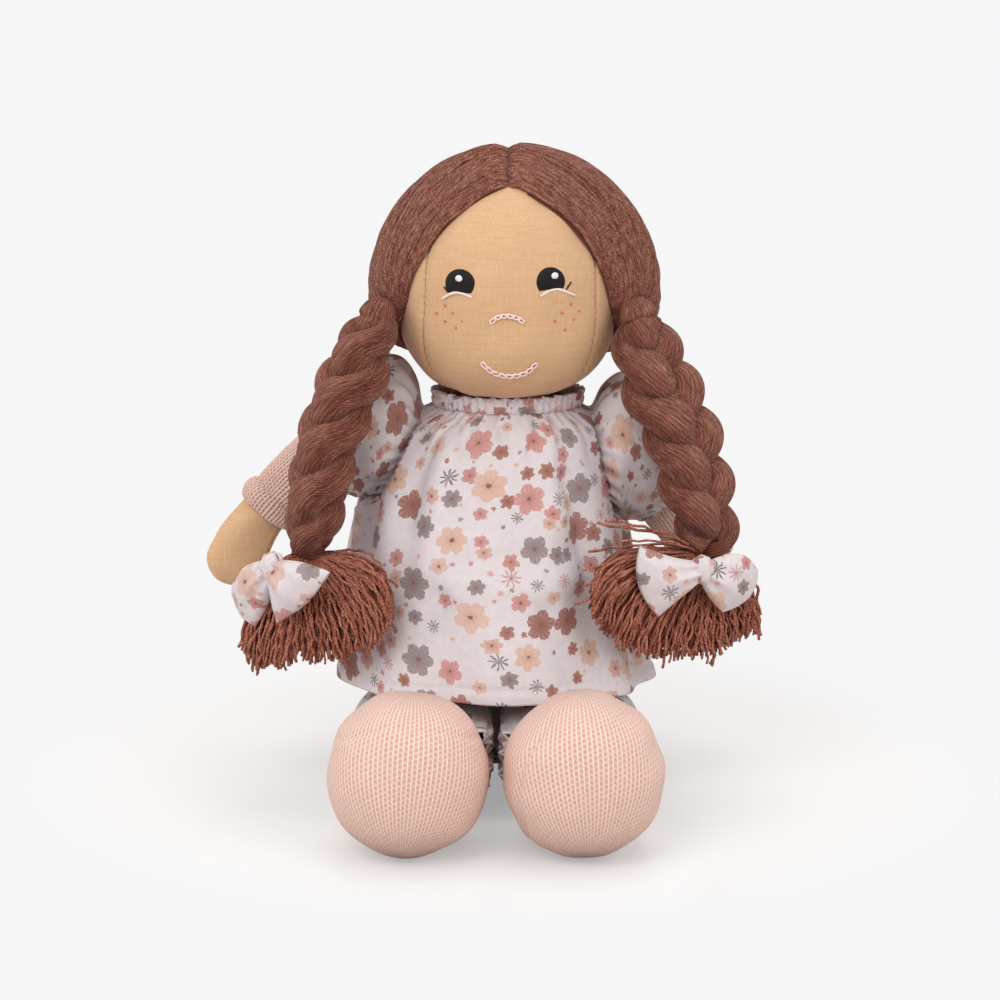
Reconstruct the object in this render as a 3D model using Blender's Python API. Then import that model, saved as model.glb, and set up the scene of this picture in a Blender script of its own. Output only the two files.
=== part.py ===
"""A sitting rag doll with plaited yarn hair: a stuffed cotton body, head and limbs, knitted sleeves and
socks, a gathered dress with puff sleeves, bloomers, and two braids that end in a tassel and a bow.

Metres, +Z up. The doll faces -Y, its own left is +X, and the origin is on the floor between its hips.
Soft pieces are lofts: rings of points round a centre line, each ring an ellipse or a superellipse."""

import math

import bmesh
import bpy
import numpy as np

MM = 0.001
SIDES = {"right": -1, "left": 1}

# Clearances and cloth
GAP = 0.3 * MM
OVERRUN = 20 * MM
CLOTH = 1.2 * MM
KNIT = 1.6 * MM

# Body: the whole doll leans a little, so its neck stands to its left of its seat
NECK_X = 1.5 * MM
SEAT_X = -3.2 * MM
NECK_Y = 4 * MM
NECK_Z = 150 * MM
NECK_BALL = 11 * MM
TORSO_HALF_WIDTH = 40 * MM
TORSO_HALF_DEPTH = 30 * MM
TORSO_BACK_Y = 43 * MM
TORSO_SIDES = 26

# Head
HEAD_HALF_WIDTH = 44 * MM
HEAD_HALF_DEPTH = 44 * MM
HEAD_HALF_HEIGHT = 47 * MM
HEAD_Z = 198.5 * MM
HEAD_SIDES = 28
HEAD_RINGS = 13

# Hair: a yarn cap in two halves, combed from the parting to a gather at each ear
HAIR_HALF_WIDTH = 57.5 * MM
HAIR_HALF_DEPTH = 50 * MM
HAIR_HALF_HEIGHT = 58.5 * MM
HAIR_DROP = 6.5 * MM
HAIR_X = 4 * MM
HAIR_Y = 3 * MM
HAIR_EDGE = 2.2 * MM
HAIRLINE_FRONT_RISE = 38.5 * MM
HAIRLINE_NAPE_DROP = 26.5 * MM
HAIR_GATHER_SHARE = 0.922
HAIR_ROWS = 13
HAIR_COLUMNS = 13

# Arms
SHOULDER_OUT = 42.8 * MM
SHOULDER_Y = 8 * MM
SHOULDER_Z = {"right": 136 * MM, "left": 135 * MM}
ARM_LENGTH = 100 * MM
ARM_FROM_VERTICAL = {"right": (78, 18), "left": (44, 16)}
ARM_RADIUS = 11.2 * MM
SHOULDER_EASE = 0.1 * MM
WRIST_RADIUS = 9.2 * MM
HAND_HALF_WIDTH = 11.2 * MM
HAND_HALF_THICK = 8.2 * MM
HAND_ROUND = 11 * MM
SLEEVE_START_SHARE = 0.12
SLEEVE_SHARE = 0.66
CUFF_LENGTH = 8 * MM
CUFF_ROLL = 1.4 * MM
ARM_SIDES = 14

# Legs and socks
HIP_OUT = 32.4 * MM
HIP_Y = -28 * MM
HIP_Z = 21.5 * MM
THIGH_RADIUS = 19.2 * MM
HIP_EASE = 0.8 * MM
THIGH_HALF_WIDTH = 23.5 * MM
SOCK_TOP_Y = -88 * MM
SOLE_Y = -148 * MM
FOOT_HALF_WIDTH = 30.2 * MM
FOOT_HEIGHT = 61 * MM
LEG_SIDES = 18

# Bloomers
BLOOMER_WAIST_Z = 64 * MM
BLOOMER_CUFF_Y = -78 * MM
BLOOMER_FLARE = 1.5 * MM

# Dress
DRESS_TOP_Z = 147 * MM
HEM_Z = 44 * MM
HEM_X = -2.7 * MM
HEM_RIGHT = 64 * MM
HEM_LEFT = 61.5 * MM
HEM_FRONT_Y = -75 * MM
HEM_BACK_Y = 49 * MM
FOLD_DEPTH = 1.5 * MM
FOLDS = 11
DRESS_SIDES = 40
DRESS_RINGS = 11
COLLAR_HALF_WIDTH = 28.6 * MM
COLLAR_HALF_DEPTH = 23.5 * MM
COLLAR_RADIUS = 2.4 * MM
RUFFLE = 0.5 * MM
RUFFLES = 22

# Puff sleeves, set into the dress along slanting seams from the collar to the armpit
SEAM_TOP_OUT = 32.6 * MM
ARMHOLE_EASE = 8 * MM
SEAM_TOP_Z = 148 * MM
ARMPIT_OUT = {"right": 51 * MM, "left": 42 * MM}
ARMPIT_Z = {"right": 112 * MM, "left": 106 * MM}
PUFF_HALF_DEPTH = 19.5 * MM
PUFF_TOP_SWELL = 24 * MM
PUFF_UNDER_SWELL = 1 * MM
PUFF_BAND_SHARE = 0.36
PUFF_SIDES = 16

# Braids
BRAID_ROOT = {"right": (-50 * MM, -22 * MM, 184 * MM), "left": (53 * MM, -22 * MM, 184 * MM)}
BRAID_MIDDLE = {"right": (-66 * MM, -33.5 * MM, 144 * MM), "left": (68 * MM, -31 * MM, 144 * MM)}
BRAID_END = {"right": (-76 * MM, -40 * MM, 97 * MM), "left": (81 * MM, -38 * MM, 97 * MM)}
HAIR_TIE_RADIUS = 8.4 * MM
HAIR_TIE_LENGTH = 8 * MM
HAIR_TIE_THICK = 1.8 * MM
TIE_REACH = 9.8 * MM
HANK_END_TURN = math.radians(86)
PLAIT_SWING = 9.2 * MM
PLAIT_DEPTH = 7.4 * MM
STRAND_RADIUS = 4.7 * MM
STRAND_THICK = 3.7 * MM
PLAIT_PITCH = 60 * MM
STRANDS = 3
STRAND_RINGS = 22
STRAND_SIDES = 8

# Tassels and bows
END_TIE_RADIUS = 8.2 * MM
END_TIE_LENGTH = 8 * MM
TASSEL_MIDDLE = {"right": (-73 * MM, -52.5 * MM, 54 * MM), "left": (70 * MM, -50 * MM, 54 * MM)}
TASSEL_HALF_WIDTH = {"right": 30 * MM, "left": 36 * MM}
TASSEL_HALF_THICK = 8.5 * MM
TASSEL_TURN = {"right": 26, "left": 24}
BOW_ASIDE = {"right": 0 * MM, "left": 4.5 * MM}
BOW_DROP = 3.2 * MM
BOW_HALF_WIDTH = 26.5 * MM
BOW_HALF_HEIGHT = 15.5 * MM
BOW_HALF_THICK = 3.6 * MM
BOW_TURN = {"right": 40, "left": 6}
BOW_TILT = {"right": 8, "left": -6}
KNOT_HALF_WIDTH = 5 * MM
KNOT_CLOTH = 2.6 * MM


def colour(hex_code):
    """An sRGB hex colour as the linear values that a shader socket takes."""
    channels = [int(hex_code[i : i + 2], 16) / 255 for i in (1, 3, 5)]
    return [c / 12.92 if c < 0.04045 else ((c + 0.055) / 1.055) ** 2.4 for c in channels] + [1]


def fabric(name, hex_code, roughness):
    material = bpy.data.materials.new(name)
    material.use_nodes = True
    shader = material.node_tree.nodes["Principled BSDF"]
    shader.inputs["Base Color"].default_value = colour(hex_code)
    shader.inputs["Roughness"].default_value = roughness
    shader.inputs["Metallic"].default_value = 0
    return material


def clear_scene():
    for thing in list(bpy.data.objects):
        bpy.data.objects.remove(thing)


def through(stations, values, at):
    """The smooth curve through the values at the stations: cubic between each two, slopes from neighbours."""
    x, y = np.asarray(stations, float), np.asarray(values, float)
    slope = np.gradient(y, x)
    i = np.clip(np.searchsorted(x, at, side="right") - 1, 0, len(x) - 2)
    run = x[i + 1] - x[i]
    t = (at - x[i]) / run
    start = (1 + 2 * t) * (1 - t) ** 2 * y[i] + t * (1 - t) ** 2 * run * slope[i]
    return start + t**2 * (3 - 2 * t) * y[i + 1] + t**2 * (t - 1) * run * slope[i + 1]


def unit(vectors):
    vectors = np.asarray(vectors, float)
    return vectors / np.linalg.norm(vectors, axis=-1, keepdims=True)


def ring_points(centres, across, over, half_across, half_over, sides, power=2.0):
    """Rings round the centres: half_across along across and half_over along over, 2 being an ellipse."""
    turn = np.arange(sides) * 2 * math.pi / sides
    rows = len(centres)
    bend = 2 / np.broadcast_to(power, rows)[:, None]
    wide = np.sign(np.cos(turn)) * np.abs(np.cos(turn)) ** bend
    high = np.sign(np.sin(turn)) * np.abs(np.sin(turn)) ** bend
    across = np.broadcast_to(across, (rows, 3))[:, None, :]
    over = np.broadcast_to(over, (rows, 3))[:, None, :]
    sideways = (np.broadcast_to(half_across, rows)[:, None] * wide)[..., None] * across
    upwards = (np.broadcast_to(half_over, rows)[:, None] * high)[..., None] * over
    return np.asarray(centres)[:, None, :] + sideways + upwards


def loft(name, rings, material, ring_shaped=False):
    """A closed solid through the rings. Its ends get a cap, or meet each other on a ring-shaped solid."""
    count, sides = rings.shape[:2]
    index = np.arange(count * sides).reshape(count, sides)
    following = np.roll(index, -1, axis=1)
    last = count if ring_shaped else count - 1
    faces = []
    for i in range(last):
        j = (i + 1) % count
        faces += np.stack([index[i], following[i], following[j], index[j]], axis=1).tolist()
    points = rings.reshape(-1, 3).tolist()
    if not ring_shaped:
        for end in (0, count - 1):
            points.append(rings[end].mean(axis=0).tolist())
            tip = len(points) - 1
            faces += [[a, b, tip] for a, b in zip(index[end].tolist(), following[end].tolist())]
    return solid(name, points, faces, material)


def solid(name, points, faces, material):
    mesh = bpy.data.meshes.new(name)
    mesh.from_pydata(points, [], faces)
    work = bmesh.new()
    work.from_mesh(mesh)
    bmesh.ops.recalc_face_normals(work, faces=work.faces)
    work.to_mesh(mesh)
    work.free()
    mesh.shade_smooth()
    mesh.materials.append(material)
    thing = bpy.data.objects.new(name, mesh)
    bpy.context.scene.collection.objects.link(thing)
    return thing


def cup(name, outer, inner, material):
    """A wall between two nested lofts, open where both start and closed where both end."""
    return loft(name, np.concatenate([outer[::-1], inner]), material)


def tube(name, outer, inner, material):
    """A wall between two nested lofts, open at both ends."""
    return loft(name, np.concatenate([outer, inner[::-1]]), material, ring_shaped=True)


def cut(thing, cutter, operation="DIFFERENCE"):
    cutter.hide_render = True
    cutter.display_type = "WIRE"
    modifier = thing.modifiers.new(cutter.name, "BOOLEAN")
    modifier.operation = operation
    modifier.object = cutter
    return thing


def ball(name, centre, half_sizes, material, sides=20, rings=10):
    """An ellipsoid as horizontal rings from its bottom to its top."""
    polar = (np.arange(rings) + 0.5) * math.pi / rings
    centres = np.array(centre) + np.outer(-np.cos(polar) * half_sizes[2], [0, 0, 1])
    round_ = np.sin(polar)
    grid = ring_points(centres, [1, 0, 0], [0, 1, 0], half_sizes[0] * round_, half_sizes[1] * round_, sides)
    thing = loft(name, grid, material)
    for vertex, side in ((len(thing.data.vertices) - 2, -1), (len(thing.data.vertices) - 1, 1)):
        thing.data.vertices[vertex].co = (centre[0], centre[1], centre[2] + side * half_sizes[2])
    return thing


# Outlines as shares: heights of the torso, then its half width, front and back at those heights
TORSO_HEIGHT_SHARES = (0, 0.03, 0.09, 0.15, 0.235, 0.3, 0.4, 0.55, 0.75, 0.9, 0.965, 0.99)
TORSO_WIDTH_SHARES = (0.62, 0.86, 0.98, 1, 1, 1, 0.98, 0.92, 0.86, 0.83, 0.7, 0.272)
TORSO_FRONT_SHARES = (0.1, 0.2, 0.26, 0.28, 0.5, 0.68, 0.83, 0.78, 0.68, 0.57, 0.37, 0.229)
TORSO_SQUARENESS = (3.2, 3.2, 3.2, 3.2, 3, 2.6, 2.3, 2.2, 2.2, 2.2, 2.2, 2)
TORSO_BACK_SHARES = (0.74, 0.93, 0.99, 1, 1, 0.98, 0.94, 0.84, 0.7, 0.58, 0.43, 0.346)
# Foot, from the sock's top to the sole
FOOT_STATION_SHARES = (0, 0.14, 0.34, 0.55, 0.75, 0.9, 0.97, 1)
FOOT_WIDTH_SHARES = (0.6, 0.68, 0.88, 0.99, 0.98, 0.82, 0.62, 0.34)
FOOT_TOP_SHARES = (0.66, 0.74, 0.93, 1, 0.99, 0.89, 0.77, 0.62)
FOOT_BOTTOM_SHARES = (0.05, 0, -0.01, -0.01, -0.005, 0.08, 0.2, 0.35)
# Arm, from the shoulder to the hand's tip
BLOOMER_FLARE_SHARES = (0, 0, 0.3, 0.6, 1, 1, 0.75, 0.1, 0.9)
ARM_STATION_SHARES = (0, 0.15, 0.35, 0.52, 0.62, 0.7, 0.82, 1)
ARM_SWELL_SHARES = (0, 0.4, 0.3, 0, 0, 0, 0, 0)
ARM_TO_WRIST_SHARES = (0, 0, 0.1, 0.7, 1, 0.8, 0, 0)
ARM_TO_HAND_SHARES = (0, 0, 0, 0, 0, 0.2, 1, 1)
# Dress, from the collar to the hem
DRESS_FALL_SHARES = (0, 0.07, 0.17, 0.31, 0.53, 0.84, 1)
DRESS_RIGHT_SHARES = (0.45, 0.68, 0.8, 0.88, 0.95, 0.985, 1)
DRESS_LEFT_SHARES = (0.46, 0.64, 0.71, 0.76, 0.83, 0.92, 1)
DRESS_FRONT_SHARES = (0.26, 0.37, 0.46, 0.56, 0.71, 0.9, 1)
DRESS_BACK_SHARES = (0.56, 0.68, 0.77, 0.86, 0.92, 0.98, 1)
# Puff sleeve, from inside the seam to its band, and how far it swells there
PUFF_STATION_SHARES = (0, 0.1, 0.2, 0.32, 0.45, 0.6, 0.75, 0.88, 1)
PUFF_RISE_SHARES = (0, 0.05, 0.5, 0.9, 1, 0.88, 0.6, 0.25, 0)
PUFF_ROOT_SHARE = 0.2
# Tassel, from the tie to its ends, and the bow, from one loop's end to the other's
PLAIT_STATION_SHARES = (0, 0.1, 0.2, 0.3, 0.6, 0.86, 0.95, 1)
PLAIT_SIZE_SHARES = (0.5, 0.7, 0.95, 1.04, 1, 0.92, 0.78, 0.64)
TASSEL_STATION_SHARES = (0, 0.12, 0.35, 0.7, 1)
TASSEL_WIDTH_SHARES = (0.22, 0.3, 0.6, 0.9, 1)
TASSEL_THICK_SHARES = (0.6, 0.6, 0.55, 0.85, 1)
TASSEL_RISE_SHARE = 0.45
BOW_STATION_SHARES = (-1, -0.9, -0.65, -0.4, -0.19, 0, 0.19, 0.4, 0.65, 0.9, 1)
BOW_HEIGHT_SHARES = (0.55, 0.86, 1, 0.8, 0.32, 0.3, 0.32, 0.8, 1, 0.86, 0.55)
BOW_THICK_SHARES = (0.45, 0.8, 1, 1, 0.9, 0.85, 0.9, 1, 1, 0.8, 0.45)


def middle_x(z):
    """The doll's middle at a height: it leans evenly from its seat to its neck."""
    return SEAT_X + (NECK_X - SEAT_X) * z / NECK_Z


def torso_rings(grow, shares):
    """Rings of the torso's outline at shares of the neck's height, grown outwards all round."""
    base = CLOTH + GAP
    heights = base + np.asarray(shares) * (NECK_Z - base)
    down = grow * np.clip(1 - np.asarray(shares) / TORSO_HEIGHT_SHARES[4], 0, 1)
    wide = TORSO_HALF_WIDTH * through(TORSO_HEIGHT_SHARES, TORSO_WIDTH_SHARES, shares) + grow
    front = -TORSO_HALF_DEPTH * through(TORSO_HEIGHT_SHARES, TORSO_FRONT_SHARES, shares) - grow
    back = TORSO_BACK_Y * through(TORSO_HEIGHT_SHARES, TORSO_BACK_SHARES, shares) + grow
    centres = np.stack([middle_x(heights), (front + back) / 2, heights - down], axis=1)
    square = through(TORSO_HEIGHT_SHARES, TORSO_SQUARENESS, shares)
    return ring_points(centres, [1, 0, 0], [0, 1, 0], wide, (back - front) / 2, TORSO_SIDES, square)


def make_torso(cotton):
    """The stuffed body, from its seat to the round neck end that the head is sewn over."""
    shares = np.array(TORSO_HEIGHT_SHARES[:8] + (0.65,) + TORSO_HEIGHT_SHARES[8:])
    trunk = torso_rings(0, shares)
    rise = np.radians([5, 25, 45, 65, 82])
    centres = np.stack([np.full(5, NECK_X), np.full(5, NECK_Y), NECK_Z + NECK_BALL * np.sin(rise)], axis=1)
    radius = NECK_BALL * np.cos(rise)
    neck = ring_points(centres, [1, 0, 0], [0, 1, 0], radius, radius, TORSO_SIDES)
    torso = loft("torso", np.concatenate([trunk, neck]), cotton)
    for side in SIDES:
        cut(torso, ball("arm_socket_cutter_" + side, shoulder(side), [ARM_RADIUS + GAP + SHOULDER_EASE] * 3, cotton))
        cut(torso, hip_ball("hip_cutter_" + side, side, cotton))
    return torso


def hip_ball(name, side, material):
    """The space that the round hip end of a leg turns in, with its bloomer leg on."""
    more = GAP + CLOTH + HIP_EASE
    sizes = [THIGH_HALF_WIDTH + more, THIGH_RADIUS + more, THIGH_RADIUS + more]
    return ball(name, np.array([hip_x(side), HIP_Y, HIP_Z]), sizes, material, 24, 12)


def make_bloomers_seat(print_cloth):
    """The seat of the bloomers: a cloth cup round the torso's lower end, with a flat bottom to sit on."""
    top = (BLOOMER_WAIST_Z - CLOTH) / (NECK_Z - CLOTH)
    shares = np.array([top, 0.35] + list(TORSO_HEIGHT_SHARES[5::-1]))
    outer, inner = torso_rings(GAP + CLOTH, shares), torso_rings(GAP, shares)
    seat = cup("bloomers_seat", outer, inner, print_cloth)
    for side in SIDES:
        cut(seat, bpy.data.objects["hip_cutter_" + side])


def make_head(cotton):
    centre = (NECK_X, 0, HEAD_Z)
    sizes = (HEAD_HALF_WIDTH, HEAD_HALF_DEPTH, HEAD_HALF_HEIGHT)
    head = ball("head", centre, sizes, cotton, HEAD_SIDES, HEAD_RINGS)
    socket = ball("neck_cutter", (NECK_X, NECK_Y, NECK_Z), [NECK_BALL + GAP] * 3, cotton)
    return cut(head, socket)


def ellipsoid_reach(directions, start, centre, half_sizes):
    """How far each direction runs from the start to the ellipsoid's surface."""
    along = directions / half_sizes
    off = (np.asarray(start) - centre) / half_sizes
    a, b, c = (along**2).sum(-1), (along * off).sum(-1), (off**2).sum(-1) - 1
    return (-b + np.sqrt(b * b - a * c)) / a


def hair_half(name, side, yarn):
    """Half the hair: great-circle locks from the parting, front to nape, to the gather at the ear."""
    centre = np.array([NECK_X, 0, HEAD_Z])
    head_sizes = np.array([HEAD_HALF_WIDTH, HEAD_HALF_DEPTH, HEAD_HALF_HEIGHT])
    front_rise = math.asin(HAIRLINE_FRONT_RISE / HEAD_HALF_HEIGHT)
    nape_rise = -math.asin(HAIRLINE_NAPE_DROP / HEAD_HALF_HEIGHT)
    rows = np.linspace(0, 1, HAIR_ROWS)
    turn = front_rise + rows * (math.pi - nape_rise - front_rise)
    parting = np.stack([np.zeros(HAIR_ROWS), -HEAD_HALF_DEPTH * np.cos(turn), HEAD_HALF_HEIGHT * np.sin(turn)], 1)
    parting = unit(parting)[:, None, :]
    gather = unit(np.array(BRAID_ROOT[side]) - centre)
    share = np.linspace(0, HAIR_GATHER_SHARE, HAIR_COLUMNS)[None, :, None]
    angle = np.arccos(parting @ gather)[..., None]
    ways = (np.sin((1 - share) * angle) * parting + np.sin(share * angle) * gather) / np.sin(angle)
    skin = ellipsoid_reach(ways, centre, centre, head_sizes)
    hair_sizes = np.array([HAIR_HALF_WIDTH, HAIR_HALF_DEPTH, HAIR_HALF_HEIGHT])
    full = ellipsoid_reach(ways, centre, np.array([HAIR_X, HAIR_Y, HEAD_Z - HAIR_DROP]), hair_sizes)
    crown = np.sin(np.clip(np.minimum(rows / 0.25, (1 - rows) / 0.15), 0, 1) * math.pi / 2)[:, None]
    outer = skin + HAIR_EDGE + np.maximum(full - skin - HAIR_EDGE, 0) * crown
    inner = skin - HAIR_EDGE
    shells = [centre + ways * reach[..., None] for reach in (outer, inner)]
    sign = SIDES[side]
    for shell in shells:
        shell[..., 0] = NECK_X + sign * np.maximum(sign * (shell[..., 0] - NECK_X), GAP / 2)
    hair = slab(name, shells[0], shells[1], yarn)
    scalp = ball("scalp_cutter_" + side, centre, head_sizes + GAP, yarn, HEAD_SIDES, HEAD_RINGS)
    tie = ball("tie_cutter_" + side, BRAID_ROOT[side], [TIE_REACH] * 3, yarn)
    return cut(cut(hair, scalp), tie)


def slab(name, outer, inner, material):
    """A closed solid between two grids of the same size."""
    rows, columns = outer.shape[:2]
    index = np.arange(rows * columns).reshape(rows, columns)
    faces = []
    for grid in (index, index + rows * columns):
        quads = np.stack([grid[:-1, :-1], grid[:-1, 1:], grid[1:, 1:], grid[1:, :-1]], axis=-1)
        faces += quads.reshape(-1, 4).tolist()
    rim = np.concatenate([index[0], index[1:, -1], index[-1, -2::-1], index[-2:0:-1, 0]])
    far = np.roll(rim, -1)
    faces += np.stack([rim, far, far + rows * columns, rim + rows * columns], axis=1).tolist()
    points = np.concatenate([outer.reshape(-1, 3), inner.reshape(-1, 3)]).tolist()
    return solid(name, points, faces, material)


def shoulder(side):
    return np.array([NECK_X + SIDES[side] * SHOULDER_OUT, SHOULDER_Y, SHOULDER_Z[side]])


def arm_line(side, run):
    """Centres along the arm and the direction across it: its slope changes evenly from shoulder to hand."""
    start, end = np.radians(ARM_FROM_VERTICAL[side])
    bend = (end - start) / ARM_LENGTH
    slope = start + bend * run
    out = SIDES[side] * (np.cos(start) - np.cos(slope)) / bend
    up = -(np.sin(slope) - np.sin(start)) / bend
    centres = shoulder(side) + np.stack([out, np.zeros_like(out), up], axis=1)
    across = np.stack([SIDES[side] * np.cos(slope), np.zeros_like(out), np.sin(slope)], axis=1)
    return centres, across


def arm_half_sizes(run):
    """Half width and half thickness of the stuffed arm: upper arm, wrist and mitten hand."""
    share = run / ARM_LENGTH
    swell = through(ARM_STATION_SHARES, ARM_SWELL_SHARES, np.maximum(share, 0)) * KNIT
    to_wrist = through(ARM_STATION_SHARES, ARM_TO_WRIST_SHARES, np.maximum(share, 0))
    to_hand = through(ARM_STATION_SHARES, ARM_TO_HAND_SHARES, np.maximum(share, 0))
    wide = ARM_RADIUS + swell + (WRIST_RADIUS - ARM_RADIUS) * to_wrist + (HAND_HALF_WIDTH - ARM_RADIUS) * to_hand
    thick = ARM_RADIUS + swell + (WRIST_RADIUS - ARM_RADIUS) * to_wrist + (HAND_HALF_THICK - ARM_RADIUS) * to_hand
    past = np.clip((run - ARM_LENGTH + HAND_ROUND) / HAND_ROUND, 0, 0.99)
    before = np.clip(-run / ARM_RADIUS, 0, 0.99)
    round_ = np.sqrt(1 - past**2) * np.sqrt(1 - before**2)
    return wide * round_, thick * round_


def make_arm(side, cotton, knit):
    ends = ARM_RADIUS * np.array([-0.985, -0.85, -0.5])
    tip = ARM_LENGTH + HAND_ROUND * np.array([-1, -0.65, -0.35, -0.12, 0])
    run = np.concatenate([ends, np.linspace(0, ARM_LENGTH - 2 * HAND_ROUND, 10), tip])
    centres, across = arm_line(side, run)
    wide, thick = arm_half_sizes(run)
    loft("arm_" + side, ring_points(centres, across, [0, 1, 0], wide, thick, ARM_SIDES), cotton)
    end = SLEEVE_SHARE * ARM_LENGTH
    start = SLEEVE_START_SHARE * ARM_LENGTH
    run = np.concatenate([np.linspace(start, end - CUFF_LENGTH, 7), end - CUFF_LENGTH * np.array([0.9, 0.5, 0.1, 0])])
    roll = CUFF_ROLL * np.array([0] * 7 + [0.7, 1, 0.8, 0.2])
    centres, across = arm_line(side, run)
    wide, thick = arm_half_sizes(run)
    inner = ring_points(centres, across, [0, 1, 0], wide + GAP, thick + GAP, ARM_SIDES)
    more = GAP + KNIT + roll
    outer = ring_points(centres, across, [0, 1, 0], wide + more, thick + more, ARM_SIDES)
    tube("knit_sleeve_" + side, outer, inner, knit)


def foot_rings(side, inset, shares):
    """Rings of the foot's outline, drawn in by an inset, flat where it rests on the floor."""
    end = SOLE_Y + inset
    along = SOCK_TOP_Y + np.asarray(shares) * (end - SOCK_TOP_Y)
    wide = FOOT_HALF_WIDTH * through(FOOT_STATION_SHARES, FOOT_WIDTH_SHARES, shares) - inset
    top = FOOT_HEIGHT * through(FOOT_STATION_SHARES, FOOT_TOP_SHARES, shares) - inset
    bottom = FOOT_HEIGHT * through(FOOT_STATION_SHARES, FOOT_BOTTOM_SHARES, shares) + inset
    centres = np.stack([np.full(len(along), hip_x(side)), along, (top + bottom) / 2], axis=1)
    rings = ring_points(centres, [1, 0, 0], [0, 0, 1], wide, (top - bottom) / 2, LEG_SIDES, 2.1)
    rings[..., 2] = np.maximum(rings[..., 2], inset)
    return rings


def hip_x(side):
    return SEAT_X + SIDES[side] * HIP_OUT


def thigh_rings(side, grow, along, widen=0):
    """Rings of the thigh, from its round hip end to the ankle, grown outwards and widened."""
    radius = THIGH_RADIUS + grow
    behind = np.clip((along - HIP_Y) / radius, 0, 0.995)
    share = np.clip((HIP_Y - along) / (HIP_Y - SOCK_TOP_Y), 0, 1)
    ankle = FOOT_HEIGHT * (FOOT_TOP_SHARES[0] - FOOT_BOTTOM_SHARES[0]) / 2 - KNIT - GAP + grow
    ankle_wide = FOOT_HALF_WIDTH * FOOT_WIDTH_SHARES[0] - KNIT - GAP + grow
    high = (radius + (ankle - radius) * share) * np.sqrt(1 - behind**2)
    wide = (THIGH_HALF_WIDTH + grow + (ankle_wide - THIGH_HALF_WIDTH - grow) * share) * np.sqrt(1 - behind**2)
    centres = np.stack([np.full(len(along), hip_x(side)), along, np.full(len(along), HIP_Z)], axis=1)
    return ring_points(centres, [1, 0, 0], [0, 0, 1], wide + widen, high, LEG_SIDES, 2.1)


def make_leg(side, cotton, sock_knit, print_cloth):
    hip = HIP_Y + THIGH_RADIUS * np.array([0.985, 0.85, 0.5])
    thigh = thigh_rings(side, 0, np.concatenate([hip, np.linspace(HIP_Y, BLOOMER_CUFF_Y, 6)]))
    shares = np.array([0, 0.13, 0.3, 0.55, 0.76, 0.89, 0.97, 1])
    loft("leg_" + side, np.concatenate([thigh, foot_rings(side, KNIT + GAP, shares[[0, 1, 2, 3, 5, 6, 7]])]), cotton)
    cup("sock_" + side, foot_rings(side, 0, shares), foot_rings(side, KNIT, shares), sock_knit)
    along = np.concatenate([hip, np.linspace(HIP_Y, BLOOMER_CUFF_Y, 6)])
    widen = np.array(BLOOMER_FLARE_SHARES) * BLOOMER_FLARE
    outer, inner = thigh_rings(side, GAP + CLOTH, along, widen), thigh_rings(side, GAP, along)
    tube("bloomer_leg_" + side, outer, inner, print_cloth)


def dress_rings(inset):
    """Rings of the dress from collar to hem, its folds deepening towards the hem."""
    fall = np.linspace(0, 1, DRESS_RINGS)
    heights = DRESS_TOP_Z + fall * (HEM_Z - DRESS_TOP_Z)
    right = -HEM_RIGHT * through(DRESS_FALL_SHARES, DRESS_RIGHT_SHARES, fall) + inset
    left = HEM_LEFT * through(DRESS_FALL_SHARES, DRESS_LEFT_SHARES, fall) - inset
    front = HEM_FRONT_Y * through(DRESS_FALL_SHARES, DRESS_FRONT_SHARES, fall) + inset
    back = HEM_BACK_Y * through(DRESS_FALL_SHARES, DRESS_BACK_SHARES, fall) - inset
    middle = NECK_X + (HEM_X - NECK_X) * fall + (left + right) / 2
    centres = np.stack([middle, (front + back) / 2, heights], axis=1)
    rings = ring_points(centres, [1, 0, 0], [0, 1, 0], (left - right) / 2, (back - front) / 2, DRESS_SIDES, 2.2)
    turn = np.arange(DRESS_SIDES) * 2 * math.pi / DRESS_SIDES
    wave = np.cos(FOLDS * turn + 0.6 * np.sin(2 * turn))
    fold = FOLD_DEPTH * np.outer(fall, wave)
    return rings + unit(rings - centres[:, None, :]) * fold[..., None]


def seam_plane(side):
    """The middle of the seam between dress and sleeve, and the seam's outward normal and downward way."""
    top = np.array([NECK_X + SIDES[side] * SEAM_TOP_OUT, NECK_Y, SEAM_TOP_Z])
    bottom = np.array([NECK_X + SIDES[side] * ARMPIT_OUT[side], NECK_Y, ARMPIT_Z[side]])
    down = unit(bottom - top)
    normal = np.array([-SIDES[side] * down[2], 0, SIDES[side] * down[0]])
    return (top + bottom) / 2, normal, down, np.linalg.norm(bottom - top) / 2


def seam_block(name, side, start, reach, material):
    """A cutter on one side of the seam's plane, from start to start + reach along its normal."""
    middle, normal, down, half = seam_plane(side)
    corners = []
    for along in (start, start + reach):
        for sway in (-PUFF_HALF_DEPTH - OVERRUN, PUFF_HALF_DEPTH + OVERRUN):
            for drop in (-half - OVERRUN, half + ARMHOLE_EASE):
                corners.append(middle + normal * along + np.array([0, sway, 0]) + down * drop)
    faces = [(0, 1, 3, 2), (4, 5, 7, 6), (0, 1, 5, 4), (2, 3, 7, 6), (0, 2, 6, 4), (1, 3, 7, 5)]
    return solid(name, [c.tolist() for c in corners], faces, material)


def make_dress(print_cloth):
    outer, inner = dress_rings(0), dress_rings(CLOTH)
    dress = tube("dress", outer, inner, print_cloth)
    for side in SIDES:
        cut(dress, seam_block("armhole_cutter_" + side, side, 0, OVERRUN * 3, print_cloth))
        reach = ARM_RADIUS + KNIT + GAP
        cut(dress, ball("shoulder_cutter_" + side, shoulder(side), [reach] * 3, print_cloth))
    return dress


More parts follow.
